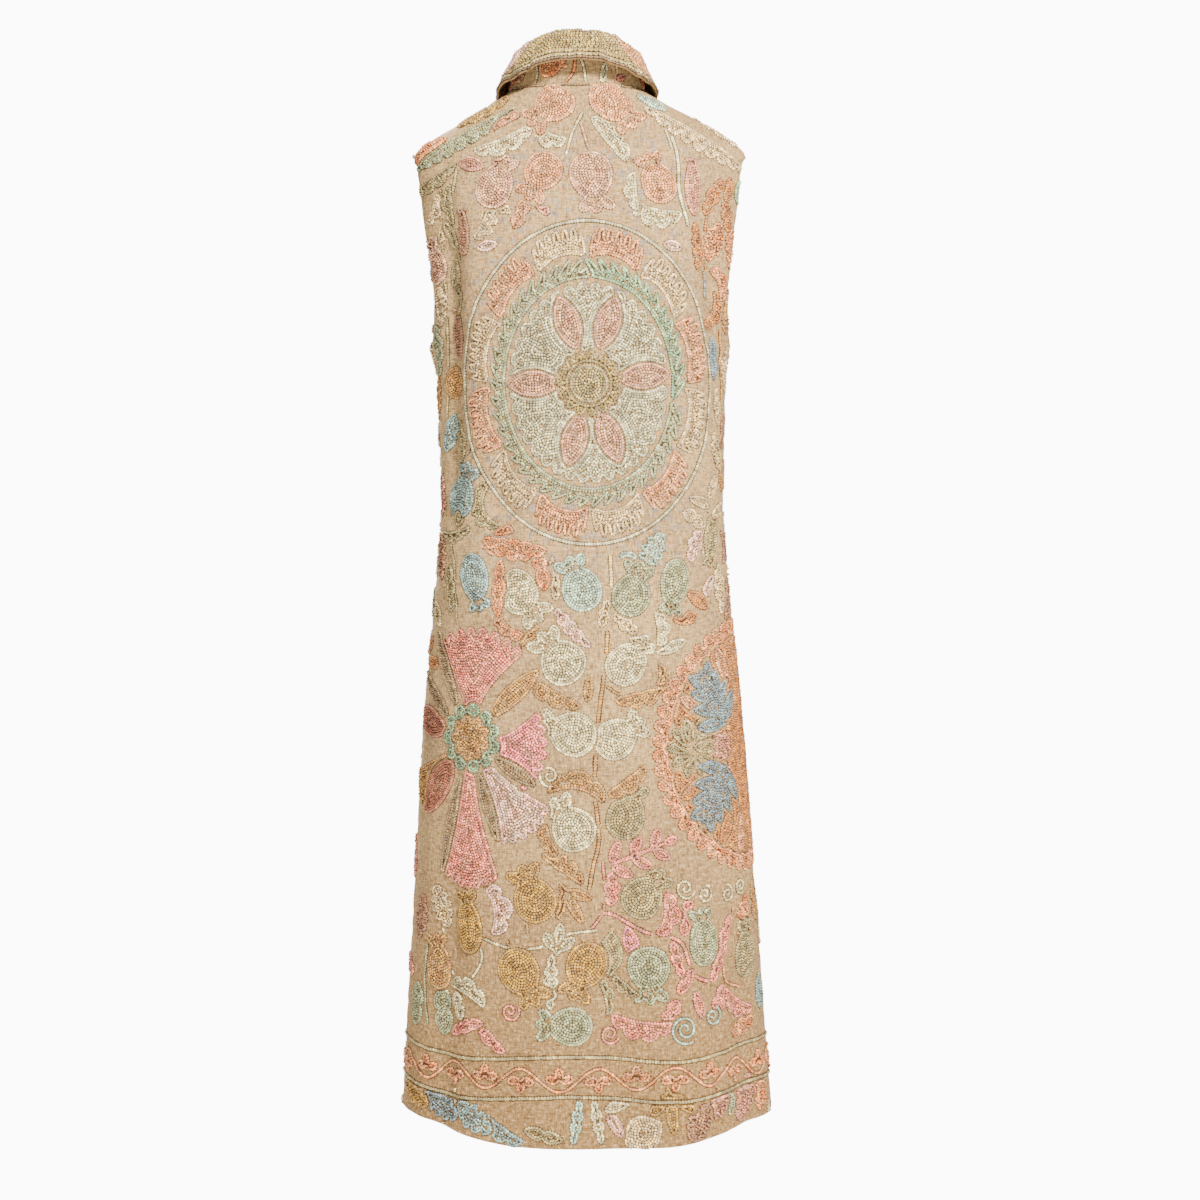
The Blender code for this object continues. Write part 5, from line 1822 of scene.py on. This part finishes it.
def collar_grid(seam, normal, around):
    """Rows of face points and their outward normals, up the stand, over the fold and down the fall."""
    level, up = np.array((1, 1, 0)), np.array((0, 0, 1))
    fold_out, fold_up, edge_out, edge_up, swing = (
        Curve(COLLAR, "around", column)(around)[:, None] for column in CollarSection._fields[1:]
    )
    along = unit(np.gradient(seam, axis=0))
    out = unit(normal * level)
    aside = unit(along * level) * -np.copysign(swing, seam[:, :1])
    fold = seam + out * fold_out + up * fold_up
    edge = seam + out * edge_out + up * edge_up + aside
    foot = seam + unit(np.cross(normal, along)) * SEAM_GAP - normal * CLOTH
    stand_top = fold - (up + out) * FOLD_RADIUS
    rows = []
    for share in np.linspace(0, 1, STAND_ROWS, endpoint=False):
        rows.append((blend(foot, stand_top, share), unit(blend(-normal, -out, ease(share * 1.5)))))
    centre = fold - up * FOLD_RADIUS
    fall_out = unit(np.cross(np.cross(out, up), edge - centre - out * FOLD_RADIUS))
    last = np.arctan2(fall_out[:, 2], (fall_out * out).sum(axis=1))[:, None]
    for share in np.linspace(0, 1, TURN_ROWS + 1):
        turn = blend(math.pi, last, share)
        facing = out * np.cos(turn) + up * np.sin(turn)
        rows.append((centre + facing * FOLD_RADIUS, facing))
    start = rows[-1][0]
    for share in np.linspace(0, 1, FALL_ROWS + 1)[1:]:
        rows.append((blend(start, edge, share), fall_out))
    return (np.array(part) for part in zip(*rows))


def form_on(points, runs, sideways, step):
    """A form over a grid of points whose rows lie at these distances up from its foot."""
    upwards = np.arange(0, runs[-1].max() + step, step)
    columns = [
        [np.interp(upwards, runs[:, i], points[:, i, axis]) for axis in range(3)]
        for i in range(points.shape[1])
    ]
    return Form(np.array(columns).transpose(2, 0, 1), sideways, upwards)


def runs_of(points):
    """How far along its column each point lies."""
    steps = np.linalg.norm(np.diff(points, axis=0), axis=2)
    return np.concatenate((np.zeros((1, points.shape[1])), np.cumsum(steps, axis=0)))


neck_sideways, neck_seam, neck_normals, neck_around = neck_line()
collar_points, collar_normals = collar_grid(neck_seam, neck_normals, neck_around)
from_edge = runs_of(collar_points[::-1])[::-1]
waves = neck_sideways * (2 * math.pi / COLLAR_WAVE)
collar_cockle = np.sin(waves + from_edge * 190) + np.sin(waves * 0.43 - from_edge * 120 + 1)
from_seam = ease(np.arange(len(collar_points)) / STAND_ROWS)[:, None]
collar_points = collar_points + collar_normals * (COLLAR_COCKLE * collar_cockle * from_seam)[..., None]
stand_share = np.minimum(1, 2 * np.arange(len(collar_points)) / STAND_ROWS)[:, None, None]
collar_backs = collar_points - collar_normals * blend(CLOTH, COLLAR_CLOTH, stand_share)
fall_form = form_on(collar_points[::-1], from_edge[::-1], neck_sideways, 0.002)
stand_backs = collar_backs[: STAND_ROWS + 1]
stand_form = form_on(stand_backs, runs_of(stand_backs), neck_sideways, 0.002)
neck_grid = np.broadcast_to(neck_sideways, from_edge.shape)
collar_linen = slubbed("collar_cotton", ground_tints, mottled=False)
collar_cloth = walled(
    "collar_cloth", neck_grid, from_edge, collar_points, collar_backs, collar_linen, collar_linen
)
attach(collar_cloth, "root")
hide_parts("collar")
collar_outline = border_of(neck_grid, from_edge)
flat_area(collar_outline)

# ---------------------------------------------------------------- collar: the embroidery
# The fall is covered all over, in long leaves on a straw-coloured ground, and its doubled edge is bound with
# close rows, the outer one dark brown as painted shadow beneath the edge. Below it, stems and buds run up the
# stand.

STAND_WORKED = 8  # rows of the stand that are stitched, below where the fall hides it
COLLAR_EDGE = ((0.0014, "shadow_brown"), (0.0058, "olive"))  # how far in from the edge each of its rows lies, the outer one dark brown as painted shadow
COLLAR_EDGE_ROW = 0.0042

# Across is the distance round the seam from the centre back here, and a drop below 0 is a height: above the
# fall's edge for its own shapes, and above the seam for the stand's.
FALL_MOTIFS = [Motif(*row) for row in (
    (bud, -0.086, -0.034, 38, 0.110, 0.040, "blush"),
    (bud, -0.126, -0.018, 20, 0.070, 0.026, "rosered"),
    (bud, -0.082, -0.046, 60, 0.026, 0.014, "blue"),
    (bud, 0.066, -0.036, 138, 0.084, 0.038, "peach"),
    (bud, 0.104, -0.026, 125, 0.060, 0.024, "blush"),
    (pomegranate, -0.160, -0.030, 160, 0.046, 0.038, "rosered"),
    (pomegranate, 0.150, -0.034, 20, 0.046, 0.038, "mustard"),
    (bud, 0.190, -0.030, 75, 0.056, 0.020, "rose"),
    (bud, -0.200, -0.036, 100, 0.056, 0.020, "sage"),
)]
STAND_MOTIFS = [Motif(*row) for row in (
    (pomegranate, -0.030, -0.018, 20, 0.028, 0.022, "coral"),
    (bud, -0.074, -0.012, 30, 0.024, 0.014, "rosewood"),
    (bud, -0.094, -0.010, 60, 0.026, 0.016, "rosered"),
    (bud, 0.030, -0.012, 80, 0.028, 0.010, "cream"),
    (bud, 0.052, -0.008, 20, 0.018, 0.009, "rosered"),
    (bud, 0.094, -0.012, 110, 0.026, 0.012, "coral"),
)]
STAND_STEMS = (
    Stem("cream", ROW, ((-0.049, 0.0), (-0.046, -0.012), (-0.048, -0.024))),
    Stem("coral", ROW, ((-0.014, 0.0), (-0.004, -0.012), (-0.002, -0.028))),
    Stem("coral", ROW, ((-0.004, -0.012), (-0.014, -0.018), (-0.018, -0.024))),
    Stem("cream", ROW, ((0.010, 0.0), (0.008, -0.014), (0.004, -0.028))),
    Stem("oat", ROW, ((0.044, -0.002), (0.046, -0.014), (0.042, -0.026))),
)
fall_chart = Chart(collar_outline)
fall_rows, stand_rows = Rows(), Rows()
for away, dye in COLLAR_EDGE:
    fall_chart.line(fall_rows, neck_sideways + 1j * away, dye, row=COLLAR_EDGE_ROW)
work(fall_chart, fall_rows, FALL_MOTIFS)
fall_chart.fill(fall_rows, [collar_outline], "straw")
fall_rows.made("collar_fall_stitches", fall_form, chain_stitch)
stand_outline = border_of(neck_grid[:STAND_WORKED], runs_of(stand_backs)[:STAND_WORKED])
stand_chart = Chart(stand_outline)
work(stand_chart, stand_rows, STAND_MOTIFS)
work_stems(stand_chart, stand_rows, STAND_STEMS)
stand_rows.made("collar_stand_stitches", stand_form, chain_stitch)
